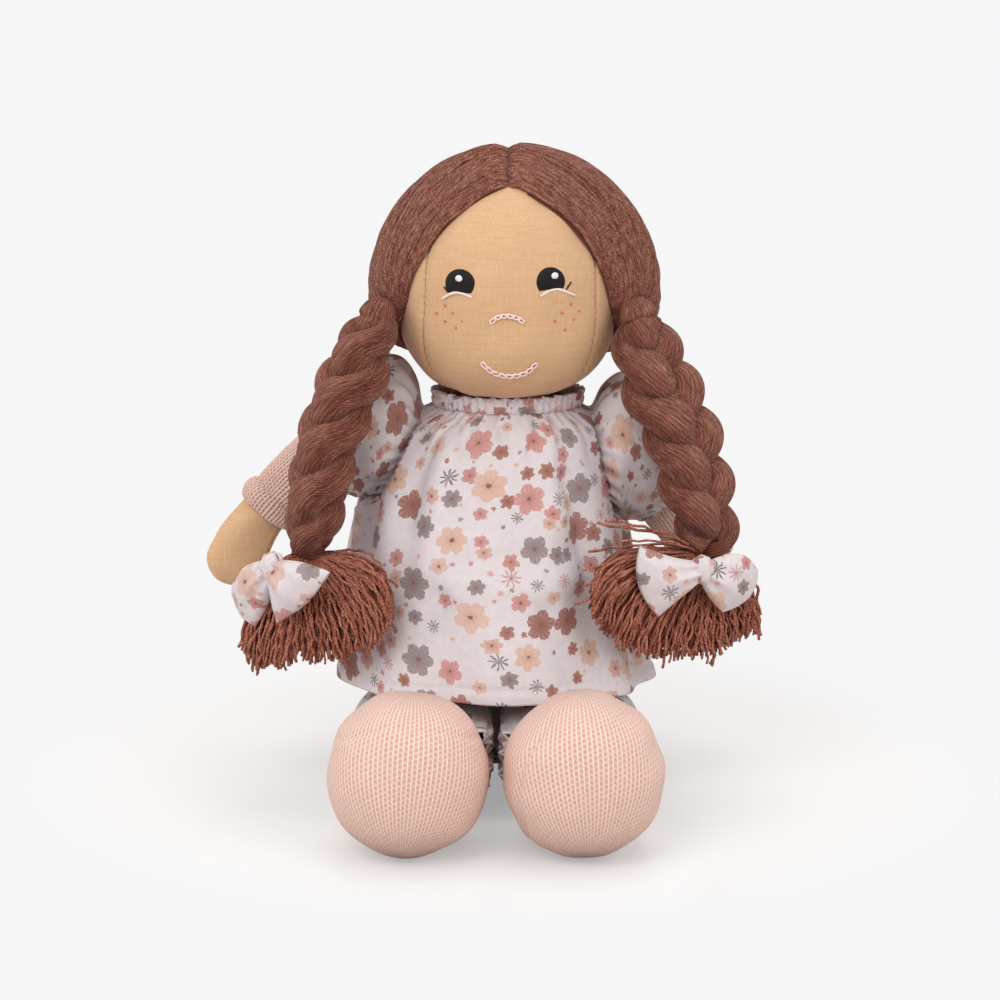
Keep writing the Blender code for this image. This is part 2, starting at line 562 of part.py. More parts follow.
def make_collar(print_cloth):
    """The gathered neckline: a round casing over the elastic, waved by its gathers."""
    turn = np.arange(DRESS_SIDES) * 2 * math.pi / DRESS_SIDES
    out = np.stack([np.cos(turn), np.sin(turn), np.zeros_like(turn)], axis=1)
    sizes = np.array([COLLAR_HALF_WIDTH, COLLAR_HALF_DEPTH, 0])
    height = DRESS_TOP_Z + GAP + COLLAR_RADIUS + RUFFLE
    centres = np.array([NECK_X, NECK_Y, height]) + out * sizes
    radius = COLLAR_RADIUS + RUFFLE * np.cos(RUFFLES * turn)
    loft("dress_collar", ring_points(centres, out, [0, 0, 1], radius, radius, 8), print_cloth, ring_shaped=True)


def puff_rings(side, inset):
    """Rings from the seam to the band round the arm, swelling outwards between them, most on top."""
    middle, normal, down, half = seam_plane(side)
    band = np.array([PUFF_BAND_SHARE * ARM_LENGTH])
    (end,), (end_across,) = arm_line(side, band)
    (arm_wide,), _ = arm_half_sizes(band)
    band_size = arm_wide + GAP + KNIT + GAP + CLOTH - inset
    start = middle - normal * OVERRUN * PUFF_ROOT_SHARE
    at_seam = ring_points([start], down, [0, 1, 0], half - inset, PUFF_HALF_DEPTH - inset, PUFF_SIDES)
    at_band = ring_points([end], -end_across, [0, 1, 0], band_size, band_size, PUFF_SIDES)
    share = np.array(PUFF_STATION_SHARES)[:, None, None]
    rings = at_seam + (at_band - at_seam) * share
    away = unit(rings - rings.mean(axis=1, keepdims=True))
    top = ((1 - np.cos(np.arange(PUFF_SIDES) * 2 * math.pi / PUFF_SIDES))[None, :, None] / 2) ** 2
    swell = PUFF_UNDER_SWELL + (PUFF_TOP_SWELL - PUFF_UNDER_SWELL) * top
    rise = np.array(PUFF_RISE_SHARES)[:, None, None]
    return rings + away * swell * rise


def make_puff_sleeve(side, print_cloth):
    sleeve = tube("puff_sleeve_" + side, puff_rings(side, 0), puff_rings(side, CLOTH), print_cloth)
    cut(sleeve, seam_block("seam_cutter_" + side, side, GAP - OVERRUN * 3, OVERRUN * 3, print_cloth))


def braid_axis(side):
    return unit(np.array(BRAID_MIDDLE[side]) - np.array(BRAID_ROOT[side]))


def square_to(way):
    """Two directions square to a way: one level, and one square to both."""
    level = unit(np.cross(way, [0, 1, 0]))
    return level, np.cross(level, way)


def make_hair_tie(side, yarn, tie):
    """The tie at the ear, and the hank of yarn that passes through it."""
    root, way = np.array(BRAID_ROOT[side]), braid_axis(side)
    across, over = square_to(way)
    half = HAIR_TIE_LENGTH / 2
    run = half * np.array([-1, -0.7, 0, 0.7, 1])
    bulge = HAIR_TIE_THICK * np.array([0.75, 0.95, 1, 0.95, 0.75])
    centres = root + np.outer(run, way)
    inside = HAIR_TIE_RADIUS - HAIR_TIE_THICK
    outer = ring_points(centres, across, over, inside + bulge, inside + bulge, 16)
    inner = ring_points(centres, across, over, inside, inside, 16)
    tube("hair_tie_" + side, outer, inner, tie)
    hank = inside - GAP
    reach = TIE_REACH - GAP
    turn = np.linspace(math.acos(hank / reach), HANK_END_TURN, 3)
    turn = np.concatenate([-turn[::-1], turn])
    centres = root + reach * np.outer(np.sin(turn), way)
    loft("hair_hank_" + side, ring_points(centres, across, over, reach * np.cos(turn), reach * np.cos(turn), 16), yarn)


def braid_line(side, share):
    """Points down the middle of the braid, through its root, its middle and its end."""
    places = np.array([BRAID_ROOT[side], BRAID_MIDDLE[side], BRAID_END[side]])
    runs = np.linalg.norm(np.diff(places, axis=0), axis=1)
    stations = np.concatenate([[0], np.cumsum(runs)]) / runs.sum()
    line = np.stack([through(stations, places[:, i], share) for i in range(3)], axis=-1)
    return line, runs.sum()


def strand_line(side, strand, share):
    """One strand of the plait: it swings across as a sine and in and out as a sine of twice the turn."""
    line, length = braid_line(side, share)
    way = unit(np.gradient(line, axis=0))
    level = unit(np.cross(way, [0, 1, 0]))
    over = np.cross(level, way)
    phase = 2 * math.pi * (share * length / PLAIT_PITCH + strand / STRANDS)
    size = np.interp(share, PLAIT_STATION_SHARES, PLAIT_SIZE_SHARES)[:, None]
    swing = PLAIT_SWING * size * np.sin(phase)[:, None] * level
    depth = PLAIT_DEPTH * size * np.sin(2 * phase)[:, None] * over
    return line + swing + depth, size[:, 0], over


def make_braid(side, yarn):
    """Three strands plaited left over right over left, from the tie at the ear to the tie at the end."""
    tie = end_tie(f"end_tie_cutter_{side}", side, GAP, yarn)
    root = ball("root_cutter_" + side, BRAID_ROOT[side], [TIE_REACH] * 3, yarn)
    _, length = braid_line(side, np.array([0.0, 1.0]))
    share = np.linspace((TIE_REACH - STRAND_RADIUS / 2) / length, 1 - GAP / length, STRAND_RINGS)
    for strand in range(STRANDS):
        line, size, over = strand_line(side, strand, share)
        way = unit(np.gradient(line, axis=0))
        across = unit(np.cross(way, over))
        high = np.cross(across, way)
        rings = ring_points(line, across, high, STRAND_RADIUS * size, STRAND_THICK * size, STRAND_SIDES)
        cut(cut(loft(f"braid_strand_{strand + 1}_{side}", rings, yarn), tie), root)


def end_way(side):
    return unit(np.array(BRAID_END[side]) - np.array(BRAID_MIDDLE[side]))


def end_tie(name, side, grow, material):
    """The elastic wound round the three strands at the braid's end."""
    across, over = square_to(end_way(side))
    run = (END_TIE_LENGTH / 2 + grow) * np.array([-1, -0.75, 0, 0.75, 1])
    size = END_TIE_RADIUS * np.array([0.85, 0.97, 1, 0.97, 0.85]) + grow
    centres = np.array(BRAID_END[side]) + np.outer(run, end_way(side))
    return loft(name, ring_points(centres, across, over, size, size, 16), material)


def make_tassel(side, yarn):
    """The loose yarn ends below the tie, fanned out against the skirt of the dress."""
    start = np.array(BRAID_END[side]) + end_way(side) * END_TIE_LENGTH / 4
    middle = np.array(TASSEL_MIDDLE[side])
    turn = math.radians(TASSEL_TURN[side])
    across = np.array([math.cos(turn), SIDES[side] * math.sin(turn), 0])
    over = np.array([-SIDES[side] * math.sin(turn), math.cos(turn), 0])
    share = np.linspace(0, 1, 8)
    wide = TASSEL_HALF_WIDTH[side] * through(TASSEL_STATION_SHARES, TASSEL_WIDTH_SHARES, share)
    thick = TASSEL_HALF_THICK * through(TASSEL_STATION_SHARES, TASSEL_THICK_SHARES, share)
    centres = start + np.outer(share, middle - start)
    rings = ring_points(centres, across, over, wide, thick, 24, 2.4)
    aside = (rings - centres[:, None, :]) @ across / TASSEL_HALF_WIDTH[side]
    rise = TASSEL_RISE_SHARE * TASSEL_HALF_WIDTH[side]
    rings[..., 2] += rise * aside**2 * share[:, None]
    tassel = loft("tassel_" + side, rings, yarn)
    return cut(tassel, bpy.data.objects["end_tie_cutter_" + side])


def bow_frame(side):
    """The bow's own directions: along its loops, towards the doll, and up."""
    turn, tilt = math.radians(BOW_TURN[side]), math.radians(BOW_TILT[side])
    level = np.array([math.cos(turn), SIDES[side] * math.sin(turn), 0])
    back = np.array([-SIDES[side] * math.sin(turn), math.cos(turn), 0])
    along = level * math.cos(tilt) + np.array([0, 0, math.sin(tilt)])
    return along, back, np.cross(along, back)


def bow_centre(side):
    """The bow's middle: its knot lies against the tie at the braid's end."""
    along, back, up = bow_frame(side)
    reach = END_TIE_RADIUS + GAP + KNOT_CLOTH + GAP + BOW_HALF_THICK * BOW_THICK_SHARES[4]
    aside = SIDES[side] * BOW_ASIDE[side]
    near = END_TIE_RADIUS - math.sqrt(END_TIE_RADIUS**2 - aside**2)
    return np.array(BRAID_END[side]) - back * (reach - near / 2) - along * aside - up * BOW_DROP


def make_bow(side, print_cloth):
    along, back, up = bow_frame(side)
    centre = bow_centre(side)
    stations = np.array(BOW_STATION_SHARES)
    high = BOW_HALF_HEIGHT * np.array(BOW_HEIGHT_SHARES)
    thick = BOW_HALF_THICK * np.array(BOW_THICK_SHARES)
    centres = centre + np.outer(stations * BOW_HALF_WIDTH, along)
    bow = loft("bow_" + side, ring_points(centres, up, back, high, thick, 14), print_cloth)
    run = KNOT_HALF_WIDTH * np.array([-1, -0.6, 0, 0.6, 1])
    bulge = KNOT_CLOTH * np.array([0.4, 0.9, 1, 0.9, 0.4])
    waist = BOW_HALF_HEIGHT * BOW_HEIGHT_SHARES[4] + GAP
    deep = BOW_HALF_THICK * BOW_THICK_SHARES[4] + GAP
    centres = centre + np.outer(run, along)
    outer = ring_points(centres, up, back, waist + bulge, deep + bulge, 14)
    inner = ring_points(centres, up, back, waist, deep, 14)
    tube("bow_knot_" + side, outer, inner, print_cloth)
    return bow


def main():
    clear_scene()
    cotton = fabric("cotton_weave", "#E0B88C", 0.9)
    yarn = fabric("hair_yarn", "#8E5144", 0.95)
    tie = fabric("tie_elastic", "#6E3A30", 0.8)
    print_cloth = fabric("printed_cotton", "#E9DFE1", 0.85)
    knit = fabric("sleeve_knit", "#D9A297", 0.9)
    sock_knit = fabric("sock_knit", "#F0C3B2", 0.9)
    make_torso(cotton)
    make_bloomers_seat(print_cloth)
    make_dress(print_cloth)
    make_collar(print_cloth)
    make_head(cotton)
    for side in SIDES:
        hair_half("hair_" + side, side, yarn)
        make_arm(side, cotton, knit)
        make_puff_sleeve(side, print_cloth)
        make_leg(side, cotton, sock_knit, print_cloth)
        make_hair_tie(side, yarn, tie)
        make_braid(side, yarn)
        end_tie("braid_end_tie_" + side, side, 0, tie)
        make_tassel(side, yarn)
        make_bow(side, print_cloth)


main()
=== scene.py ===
# %% [markdown]
# # A seated rag doll with yarn plaits
# The real doll is sewn from a few soft stuffs: tan plain-weave cotton, white cotton with a small floral print,
# knitted wool and brown yarn. A CAD model packed beforehand fixes each piece's place and how it moves. This
# lesson dresses that frame: every stuffed, knitted, sewn or plaited piece is worked out with numpy as a surface,
# and every stuff gets a material made of nodes.

# %% Load the frame
import math

import bpy
import numpy as np
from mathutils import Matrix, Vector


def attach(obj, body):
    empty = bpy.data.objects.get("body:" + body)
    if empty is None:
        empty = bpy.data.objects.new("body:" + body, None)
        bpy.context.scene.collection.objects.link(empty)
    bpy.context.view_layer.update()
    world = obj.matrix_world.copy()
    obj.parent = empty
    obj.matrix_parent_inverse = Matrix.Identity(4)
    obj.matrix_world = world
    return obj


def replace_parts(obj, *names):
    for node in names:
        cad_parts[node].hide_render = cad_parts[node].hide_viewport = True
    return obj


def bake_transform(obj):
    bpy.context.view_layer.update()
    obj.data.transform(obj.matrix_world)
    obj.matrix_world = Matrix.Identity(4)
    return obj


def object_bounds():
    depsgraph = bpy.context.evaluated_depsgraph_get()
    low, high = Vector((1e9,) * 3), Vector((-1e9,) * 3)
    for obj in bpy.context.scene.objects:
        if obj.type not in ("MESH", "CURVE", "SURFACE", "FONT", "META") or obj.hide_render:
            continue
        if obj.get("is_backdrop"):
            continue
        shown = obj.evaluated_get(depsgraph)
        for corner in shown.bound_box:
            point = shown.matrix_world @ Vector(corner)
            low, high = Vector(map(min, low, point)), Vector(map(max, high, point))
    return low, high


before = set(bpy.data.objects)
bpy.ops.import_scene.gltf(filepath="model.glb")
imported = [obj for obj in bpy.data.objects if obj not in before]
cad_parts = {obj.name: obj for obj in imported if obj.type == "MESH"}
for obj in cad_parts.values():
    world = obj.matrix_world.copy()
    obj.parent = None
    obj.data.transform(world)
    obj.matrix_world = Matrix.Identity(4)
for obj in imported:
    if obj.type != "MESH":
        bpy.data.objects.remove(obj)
CAD_BOX = [[float(x) for x in corner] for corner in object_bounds()]
MM = 0.001
SIDES = {"right": -1, "left": 1}
X_WAY, Y_WAY, Z_WAY = np.eye(3)

# %% [markdown]
# ## Helpers for surfaces
# A stuffed or knitted piece is a grid of points: one parameter runs along it, the other round it. Working the
# whole grid out at once keeps the formula readable and the mesh clean, with one quad per grid cell. All points
# are worked out in millimetres, straight in the doll's own frame, and turned to metres when the mesh is made.

# %% Small number helpers
def unit(v):
    """Each vector divided by its length."""
    return v / np.maximum(np.linalg.norm(v, axis=-1, keepdims=True), 1e-12)


def smooth(x, low, high):
    """0 below low, 1 above high, and an S curve between."""
    t = np.clip((np.asarray(x, float) - low) / (high - low), 0, 1)
    return t * t * (3 - 2 * t)


def bump(x, width, middle=0.0):
    """1 at the middle, dying out on both sides: exp of minus the square of the distance in widths."""
    return np.exp(-((x - middle) / width) ** 2)


def stack(*parts):
    """Numbers and arrays, spread to one shape and joined as the last axis, such as x, y and z."""
    return np.stack(np.broadcast_arrays(*parts), -1)


def run_along(line):
    """The length run from the first point of a line to each of its points."""
    return np.concatenate([[0], np.cumsum(np.linalg.norm(np.diff(line, axis=0), axis=1))])


def curve(stations, values, at):
    """Smooth curve through values (numbers or points) at stations: a cubic between each two."""
    x, y = np.asarray(stations, float), np.asarray(values, float)
    slope = np.gradient(y, x, axis=0)
    at = np.asarray(at, float)
    i = np.clip(np.searchsorted(x, at, side="right") - 1, 0, len(x) - 2)
    shape = at.shape + (1,) * (y.ndim - 1)
    run, t = (x[i + 1] - x[i]).reshape(shape), ((at - x[i]) / (x[i + 1] - x[i])).reshape(shape)
    start = (1 + 2 * t) * (1 - t) ** 2 * y[i] + t * (1 - t) ** 2 * run * slope[i]
    return start + t * t * (3 - 2 * t) * y[i + 1] + t * t * (t - 1) * run * slope[i + 1]


def wave_noise(a, b, seed, scale, terms=6):
    """Smooth noise about 0 and 1 in size: a sum of sines in random directions over the plane (a, b)."""
    rng = np.random.default_rng(seed)
    total = np.zeros(np.broadcast(a, b).shape)
    for _ in range(terms):
        angle, phase, stretch = rng.uniform(0, 2 * math.pi), rng.uniform(0, 2 * math.pi), rng.uniform(0.6, 1.7)
        total += np.sin((a * math.cos(angle) + b * math.sin(angle)) * stretch * 2 * math.pi / scale + phase)
    return total / math.sqrt(terms)


def rings_round(centres, across, over, wide, high, turn, power=2.0):
    """Rings (rows, columns, 3): centre + across wide cos + over high sin, a superellipse where power isn't 2."""
    bend = 2 / np.broadcast_to(power, (len(centres),))[:, None]
    cosine, sine = np.cos(turn), np.sin(turn)
    aside = np.sign(cosine) * np.abs(cosine) ** bend * np.reshape(np.broadcast_to(wide, len(centres)), (-1, 1))
    above = np.sign(sine) * np.abs(sine) ** bend * np.reshape(np.broadcast_to(high, len(centres)), (-1, 1))
    across, over = (np.broadcast_to(way, (len(centres), 3))[:, None] for way in (across, over))
    return centres[:, None] + across * aside[..., None] + over * above[..., None]


def turns(columns):
    """Angles round a ring, the first not repeated."""
    return np.arange(columns) * 2 * math.pi / columns


def closed(grid):
    """A round grid with its first column repeated after its last."""
    return np.concatenate([grid, grid[:, :1]], axis=1)


def fall_along(grid):
    """The mean length run down a grid from its first ring to each ring."""
    return np.concatenate([[0], np.cumsum(np.linalg.norm(np.diff(grid, axis=0), axis=2).mean(1))])


def uneven_turns(turn, amount, radius, seed, scale):
    """Angles round a ring, moved a little by smooth noise, so that gathers don't repeat evenly."""
    return turn + amount * wave_noise(np.cos(turn) * radius, np.sin(turn) * radius, seed, scale)


def grid_normals(grid):
    """Unit normals of a round grid of points, pointing away from its rings' centres."""
    wide = np.concatenate([grid[:, -1:], closed(grid)], 1)
    normal = unit(np.cross(wide[:, 2:] - wide[:, :-2], np.gradient(grid, axis=0)))
    away = ((grid - grid.mean((0, 1))) * normal).sum()
    return normal * (1 if away > 0 else -1)


# %% Making meshes
def mesh_object(name, points, faces, uv=None, tone=None):
    """An object from points in mm and face arrays (count, corners), turned so that they face outwards.

    uv has an array (count, corners, 2) for each face array; tone is a number for each point.
    """
    way = 0.0
    for group in faces:
        corners = points[group]
        area = sum(np.cross(corners[:, i] - corners[:, 0], corners[:, i + 1] - corners[:, 0])
                   for i in range(1, group.shape[1] - 1))
        way += (area * (corners.mean(1) - points.mean(0))).sum()
    if way < 0:
        faces = [group[:, ::-1] for group in faces]
        uv = None if uv is None else [group[:, ::-1] for group in uv]
    sizes = np.concatenate([np.full(len(group), group.shape[1]) for group in faces])
    mesh = bpy.data.meshes.new(name)
    mesh.vertices.add(len(points))
    mesh.vertices.foreach_set("co", (points * MM).astype(np.float32).ravel())
    mesh.loops.add(int(sizes.sum()))
    mesh.loops.foreach_set("vertex_index", np.concatenate([group.ravel() for group in faces]).astype(np.int32))
    mesh.polygons.add(len(sizes))
    mesh.polygons.foreach_set("loop_start", (np.cumsum(sizes) - sizes).astype(np.int32))
    mesh.polygons.foreach_set("use_smooth", np.ones(len(sizes), bool))
    if uv is not None:
        layer = mesh.uv_layers.new(name="cloth")
        layer.data.foreach_set("uv", np.concatenate([group.reshape(-1) for group in uv]).astype(np.float32))
    if tone is not None:
        values = mesh.attributes.new("tone", "FLOAT", "POINT")
        values.data.foreach_set("value", np.asarray(tone, np.float32).ravel())
    mesh.update(calc_edges=True)
    thing = bpy.data.objects.new(name, mesh)
    bpy.context.scene.collection.objects.link(thing)
    return thing


def cells(grid):
    """The four corners of every cell of a grid: (rows, columns, ...) to (cells, 4, ...)."""
    corners = np.stack([grid[:-1, :-1], grid[:-1, 1:], grid[1:, 1:], grid[1:, :-1]], axis=2)
    return corners.reshape((-1, 4) + grid.shape[2:])


def skin_grid(name, grid, uv=None, round_=True, ring=False, ends=(False, False), tone=None, lap=None):
    """A mesh over a grid of points: round_ closes it sideways, ring lengthways, ends drawn to a point each.

    uv in mm has one column more than a round grid, so that the pattern runs on over the seam. lap is the length
    after which the pattern meets itself anywhere else; a cell on that line has its low corners moved up by it.
    """
    rows, columns = grid.shape[:2]
    index = np.arange(rows * columns).reshape(rows, columns)
    if round_:
        index = closed(index)
    if ring:
        index = np.concatenate([index, index[:1]], axis=0)
    if uv is not None and len(uv) < len(index):
        uv = np.concatenate([uv, uv[:1]], axis=0)
    points, faces = [grid.reshape(-1, 3)], [cells(index)]
    maps = None if uv is None else [cells(uv)]
    tips = []
    for end, row in enumerate((0, rows - 1)):
        if ends[end]:
            tips.append(row)
            points.append(grid[row].mean(0)[None])
            tip = np.full(columns, rows * columns + len(tips) - 1)
            pair = (index[row, 1:], index[row, :-1]) if end == 0 else (index[row, :-1], index[row, 1:])
            faces.append(np.stack([*pair, tip], axis=1))
            if uv is not None:
                first, second = (uv[row, 1:], uv[row, :-1]) if end == 0 else (uv[row, :-1], uv[row, 1:])
                maps.append(np.stack([first, second, (first + second) / 2], axis=1))
    if lap is not None:
        for group in maps:
            torn = np.ptp(group[..., 0], axis=1, keepdims=True) > lap / 2
            group[..., 0] += lap * (torn & (group[..., 0] < group[..., 0].mean(1, keepdims=True)))
    if tone is not None:
        tone = np.concatenate([np.ravel(tone), [np.mean(tone[row]) for row in tips]])
    return mesh_object(name, np.concatenate(points), faces, maps, tone)


def ring_uv(grid):
    """UV in mm for rings: across is the way round at the widest ring, down is the length along the rings."""
    step = np.linalg.norm(np.diff(closed(grid), axis=1), axis=2)
    across = np.concatenate([[0], np.cumsum(step.max(0))])
    return stack(across, fall_along(grid)[:, None])


YARN_ROUND, UV_STEP = 1.6, (2.3, 0.7)


def tubes(name, paths, radius, sides, tone=None):
    """Round yarns: paths (count, steps, 3) and a radius for each step, all in one mesh with closed ends.

    UV in mm runs round and along each yarn, and every yarn starts a step further over the pattern.
    """
    count, steps = paths.shape[:2]
    way = unit(np.gradient(paths, axis=1))
    helper = unit(np.cross(way[:, :1], [0.31, 0.74, 0.59]) + 1e-6)
    side = unit(helper - (helper * way).sum(-1, keepdims=True) * way)
    over = np.cross(way, side)
    turn = turns(sides)[:, None]
    radius = np.broadcast_to(radius, (count, steps))[..., None, None]
    rings = paths[:, :, None] + radius * (np.cos(turn) * side[:, :, None] + np.sin(turn) * over[:, :, None])
    index = np.arange(count * steps * sides).reshape(count, steps, sides)
    wide = np.concatenate([index, index[:, :, :1]], axis=2)
    quads = np.stack([wide[:, :-1, :-1], wide[:, :-1, 1:], wide[:, 1:, 1:], wide[:, 1:, :-1]], -1)
    run = np.concatenate([np.zeros((count, 1)), np.cumsum(np.linalg.norm(np.diff(paths, axis=1), axis=2), 1)], 1)
    each = np.arange(count)[:, None, None]
    uv = stack(np.linspace(0, YARN_ROUND, sides + 1) + each * UV_STEP[0], run[..., None] + each * UV_STEP[1])
    uv = np.stack([uv[:, :-1, :-1], uv[:, :-1, 1:], uv[:, 1:, 1:], uv[:, 1:, :-1]], 3).reshape(-1, 4, 2)
    caps = np.concatenate([index[:, 0, ::-1], index[:, -1]])
    if tone is not None:
        tone = np.broadcast_to(np.reshape(tone, (-1, 1, 1)), (count, steps, sides))
    maps = [uv, np.zeros((2 * count, sides, 2))]
    return mesh_object(name, rings.reshape(-1, 3), [quads.reshape(-1, 4), caps], maps, tone)


def place(thing, material, body, *nodes):
    """Gives a piece its material and its body, and hides the CAD nodes that it stands for."""
    thing.data.materials.append(material)
    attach(thing, body)
    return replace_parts(thing, *nodes) if nodes else thing

# %% [markdown]
# ## Helpers for materials
# One small function adds any shader node, sets it and links it. Colours are written as sRGB hex values, as a
# maker would read them off a shade card, and one function turns them to the linear values that Blender wants.

# %% Colours and nodes
def linear(hex_code):
    """An sRGB hex colour as linear red, green, blue and alpha."""
    shares = np.array([int(hex_code[i:i + 2], 16) for i in (1, 3, 5)]) / 255
    return tuple(np.where(shares <= 0.04045, shares / 12.92, ((shares + 0.055) / 1.055) ** 2.4)) + (1.0,)


def add(tree, kind, links=None, **settings):
    """A shader node with its settings; each input takes a value, a socket or another node's first output."""
    node = tree.nodes.new("ShaderNode" + kind)
    for key, value in settings.items():
        setattr(node, key, value)
    for key, value in (links or {}).items():
        if isinstance(value, bpy.types.Node):
            value = value.outputs[0]
        if isinstance(value, bpy.types.NodeSocket):
            tree.links.new(value, node.inputs[key])
        else:
            node.inputs[key].default_value = value
    return node


def new_material(name):
    """An empty node material and its output node."""
    material = bpy.data.materials.new(name)
    material.use_nodes = True
    material.node_tree.nodes.clear()
    return material, add(material.node_tree, "OutputMaterial")


def finish_cloth(tree, output, colour, height, bump_depth, roughness, sheen, strength=1.0):
    """Cotton, wool and yarn scatter light widely: rough, no clear highlight, a soft sheen at the rim."""
    links = {"Base Color": colour, "Roughness": roughness, "Specular IOR Level": 0.18,
             "Sheen Weight": sheen, "Sheen Roughness": 0.5}
    if height is not None:
        links["Normal"] = add(tree, "Bump", {"Height": height, "Distance": bump_depth, "Strength": strength})
    shader = add(tree, "BsdfPrincipled", links)
    tree.links.new(shader.outputs[0], output.inputs["Surface"])


def math_chain(tree, start, *steps):
    """Applies (operation, value) steps in turn to a socket or node, such as a sum, product or power."""
    for operation, value in steps:
        start = add(tree, "Math", {0: start} if value is None else {0: start, 1: value}, operation=operation)
    return start


def times_plus(tree, value, factor, addend):
    """value x factor + addend."""
    return add(tree, "Math", {0: value, 1: factor, 2: addend}, operation="MULTIPLY_ADD")


def flat_noise(tree, where, scale, detail):
    """Smooth noise over a flat pattern, 0 to 1."""
    return add(tree, "TexNoise", {"Vector": where, "Scale": scale, "Detail": detail}, noise_dimensions="2D")


def mix_colours(tree, share, low, high, **settings):
    """From the low colour at share 0 to the high one at 1."""
    return add(tree, "MixRGB", {0: share, 1: low, 2: high}, **settings)


def waves(tree, value, pitch, shift=0.0):
    """0.5 + 0.5 cos(2 pi value / pitch): threads that repeat every pitch."""
    return math_chain(tree, value, ("MULTIPLY", 2 * math.pi / pitch), ("ADD", shift), ("COSINE", None),
                      ("MULTIPLY", 0.5), ("ADD", 0.5))


# %% [markdown]
# ## Tan plain-weave cotton
# The doll's skin is a plain-weave cotton of about 20 threads to the centimetre, too fine to show one by one.
# What the eye sees is slubs: a thread here and there a little thicker or paler, across and down the cloth. So
# the weave is drawn at 0.9 mm, and long thin noise along each thread direction makes the slubs.

# %% Skin cotton
def cotton_weave(tree, across, down, pitch):
    """Height of a plain weave: two wave trains, one set of threads over the other by turns."""
    warp, weft = waves(tree, across, pitch), waves(tree, down, pitch)
    return add(tree, "Math", {0: warp, 1: weft}, operation="MAXIMUM")


def slubs(tree, where, stretch, scale):
    """Long thin noise: 0 to 1, drawn out along one thread direction."""
    drawn = add(tree, "Mapping", {"Vector": where, "Scale": stretch})
    return add(tree, "TexNoise", {"Vector": drawn, "Scale": scale, "Detail": 2.0})


def object_mm(tree, where):
    """The object's own x, y and z in mm."""
    return add(tree, "SeparateXYZ", {0: add(tree, "VectorMath", {0: where, "Scale": 1000.0}, operation="SCALE")})


def skin_cotton(name, base, dark, light):
    """Tan cotton: slubs both ways, soft darker patches and the weave itself.

    The weave's raised threads are mixed towards the light colour: a painted highlight.
    """
    material, output = new_material(name)
    tree = material.node_tree
    where = add(tree, "TexCoord").outputs["Object"]
    mm = object_mm(tree, where)
    level = slubs(tree, where, (1.0, 1.0, 14.0), 90.0)
    upright = slubs(tree, where, (14.0, 14.0, 1.0), 90.0)
    soft = add(tree, "TexNoise", {"Vector": where, "Scale": 45.0, "Detail": 3.0})
    colour = linear(dark)
    for noise, least, gain, shade in ((level, 0.36, 1.5, base), (upright, 0.5, 1.1, light), (soft, 0.52, 0.9, dark)):
        share = math_chain(tree, noise, ("SUBTRACT", least), ("MULTIPLY", gain))
        colour = mix_colours(tree, share, colour, linear(shade), use_clamp=True)
    weave = cotton_weave(tree, mm.outputs[0], mm.outputs[2], 0.9)
    # Raised threads of the weave mixed paler: painted highlight
    grid = math_chain(tree, weave, ("SUBTRACT", 0.75), ("MULTIPLY", 0.5), ("MULTIPLY", soft))
    colour = mix_colours(tree, grid, colour, linear(light), use_clamp=True)
    finish_cloth(tree, output, colour, times_plus(tree, weave, level, 0.7), 0.00012, 0.86, 0.15, 0.6)
    return material


SKIN = skin_cotton("tan_plain_weave_cotton", "#DAB28A", "#CBA17A", "#E9C8A2")

# %% [markdown]
# ## Printed cotton
# A ditsy print is small flowers tossed with no up or down. Each layer scatters one flower to a Voronoi cell; a
# flower's outline is a circle pinched in by a cosine of the angle, once for each petal. A smaller layer asks
# whether its own centre lies clear of the larger flowers and drops the whole flower if not, so none is cut.

# %% Flower layers
def scatter(tree, where, pitch, jitter):
    """Nearest flower centre of a layer: its Voronoi node, over a grid of that pitch in mm."""
    return add(tree, "TexVoronoi", {"Vector": where, "Scale": 1 / pitch, "Randomness": jitter},
               voronoi_dimensions="2D")


def blossom(tree, where, layer, size, petals, pinch, sharp):
    """(mask, petal wave, share of the radius, streaks) of a layer's flowers, size being the radius in mm."""
    away = add(tree, "VectorMath", {0: where, 1: layer.outputs["Position"]}, operation="SUBTRACT")
    part = add(tree, "SeparateXYZ", {0: away})
    chance = add(tree, "SeparateColor", {0: layer.outputs["Color"]})
    far = add(tree, "VectorMath", {0: away}, operation="LENGTH").outputs["Value"]
    angle = add(tree, "Math", {0: part.outputs[1], 1: part.outputs[0]}, operation="ARCTAN2")
    turned = times_plus(tree, chance.outputs[0], 2 * math.pi, angle)
    lap = math_chain(tree, turned, ("MULTIPLY", petals))
    petal = math_chain(tree, lap, ("MULTIPLY", 0.5), ("COSINE", None), ("ABSOLUTE", None), ("POWER", sharp))
    streak = math_chain(tree, lap, ("MULTIPLY", 3.0), ("COSINE", None), ("MULTIPLY", -0.5), ("ADD", 0.5))
    scale = math_chain(tree, chance.outputs[2], ("MULTIPLY", 0.34), ("ADD", 0.74), ("MULTIPLY", size))
    reach = math_chain(tree, petal, ("MULTIPLY", pinch), ("ADD", 1 - pinch))
    reach = times_plus(tree, streak, 0.05, reach)
    inside = add(tree, "Math", {0: math_chain(tree, reach, ("MULTIPLY", scale)), 1: far}, operation="SUBTRACT")
    mask = math_chain(tree, inside, ("MULTIPLY", 4.0))
    mask.use_clamp = True
    share = add(tree, "Math", {0: far, 1: scale}, operation="DIVIDE")
    return (mask, petal, share, streak), chance


def pick(tree, chance, shades):
    """One of several shades by chance, with no blending between."""
    ramp = add(tree, "ValToRGB", {0: chance})
    ramp.color_ramp.interpolation = "CONSTANT"
    stops = ramp.color_ramp.elements
    while len(stops) < len(shades):
        stops.new(0.5)
    for i, shade in enumerate(shades):
        stops[i].position, stops[i].color = i / len(shades), linear(shade)
    return ramp


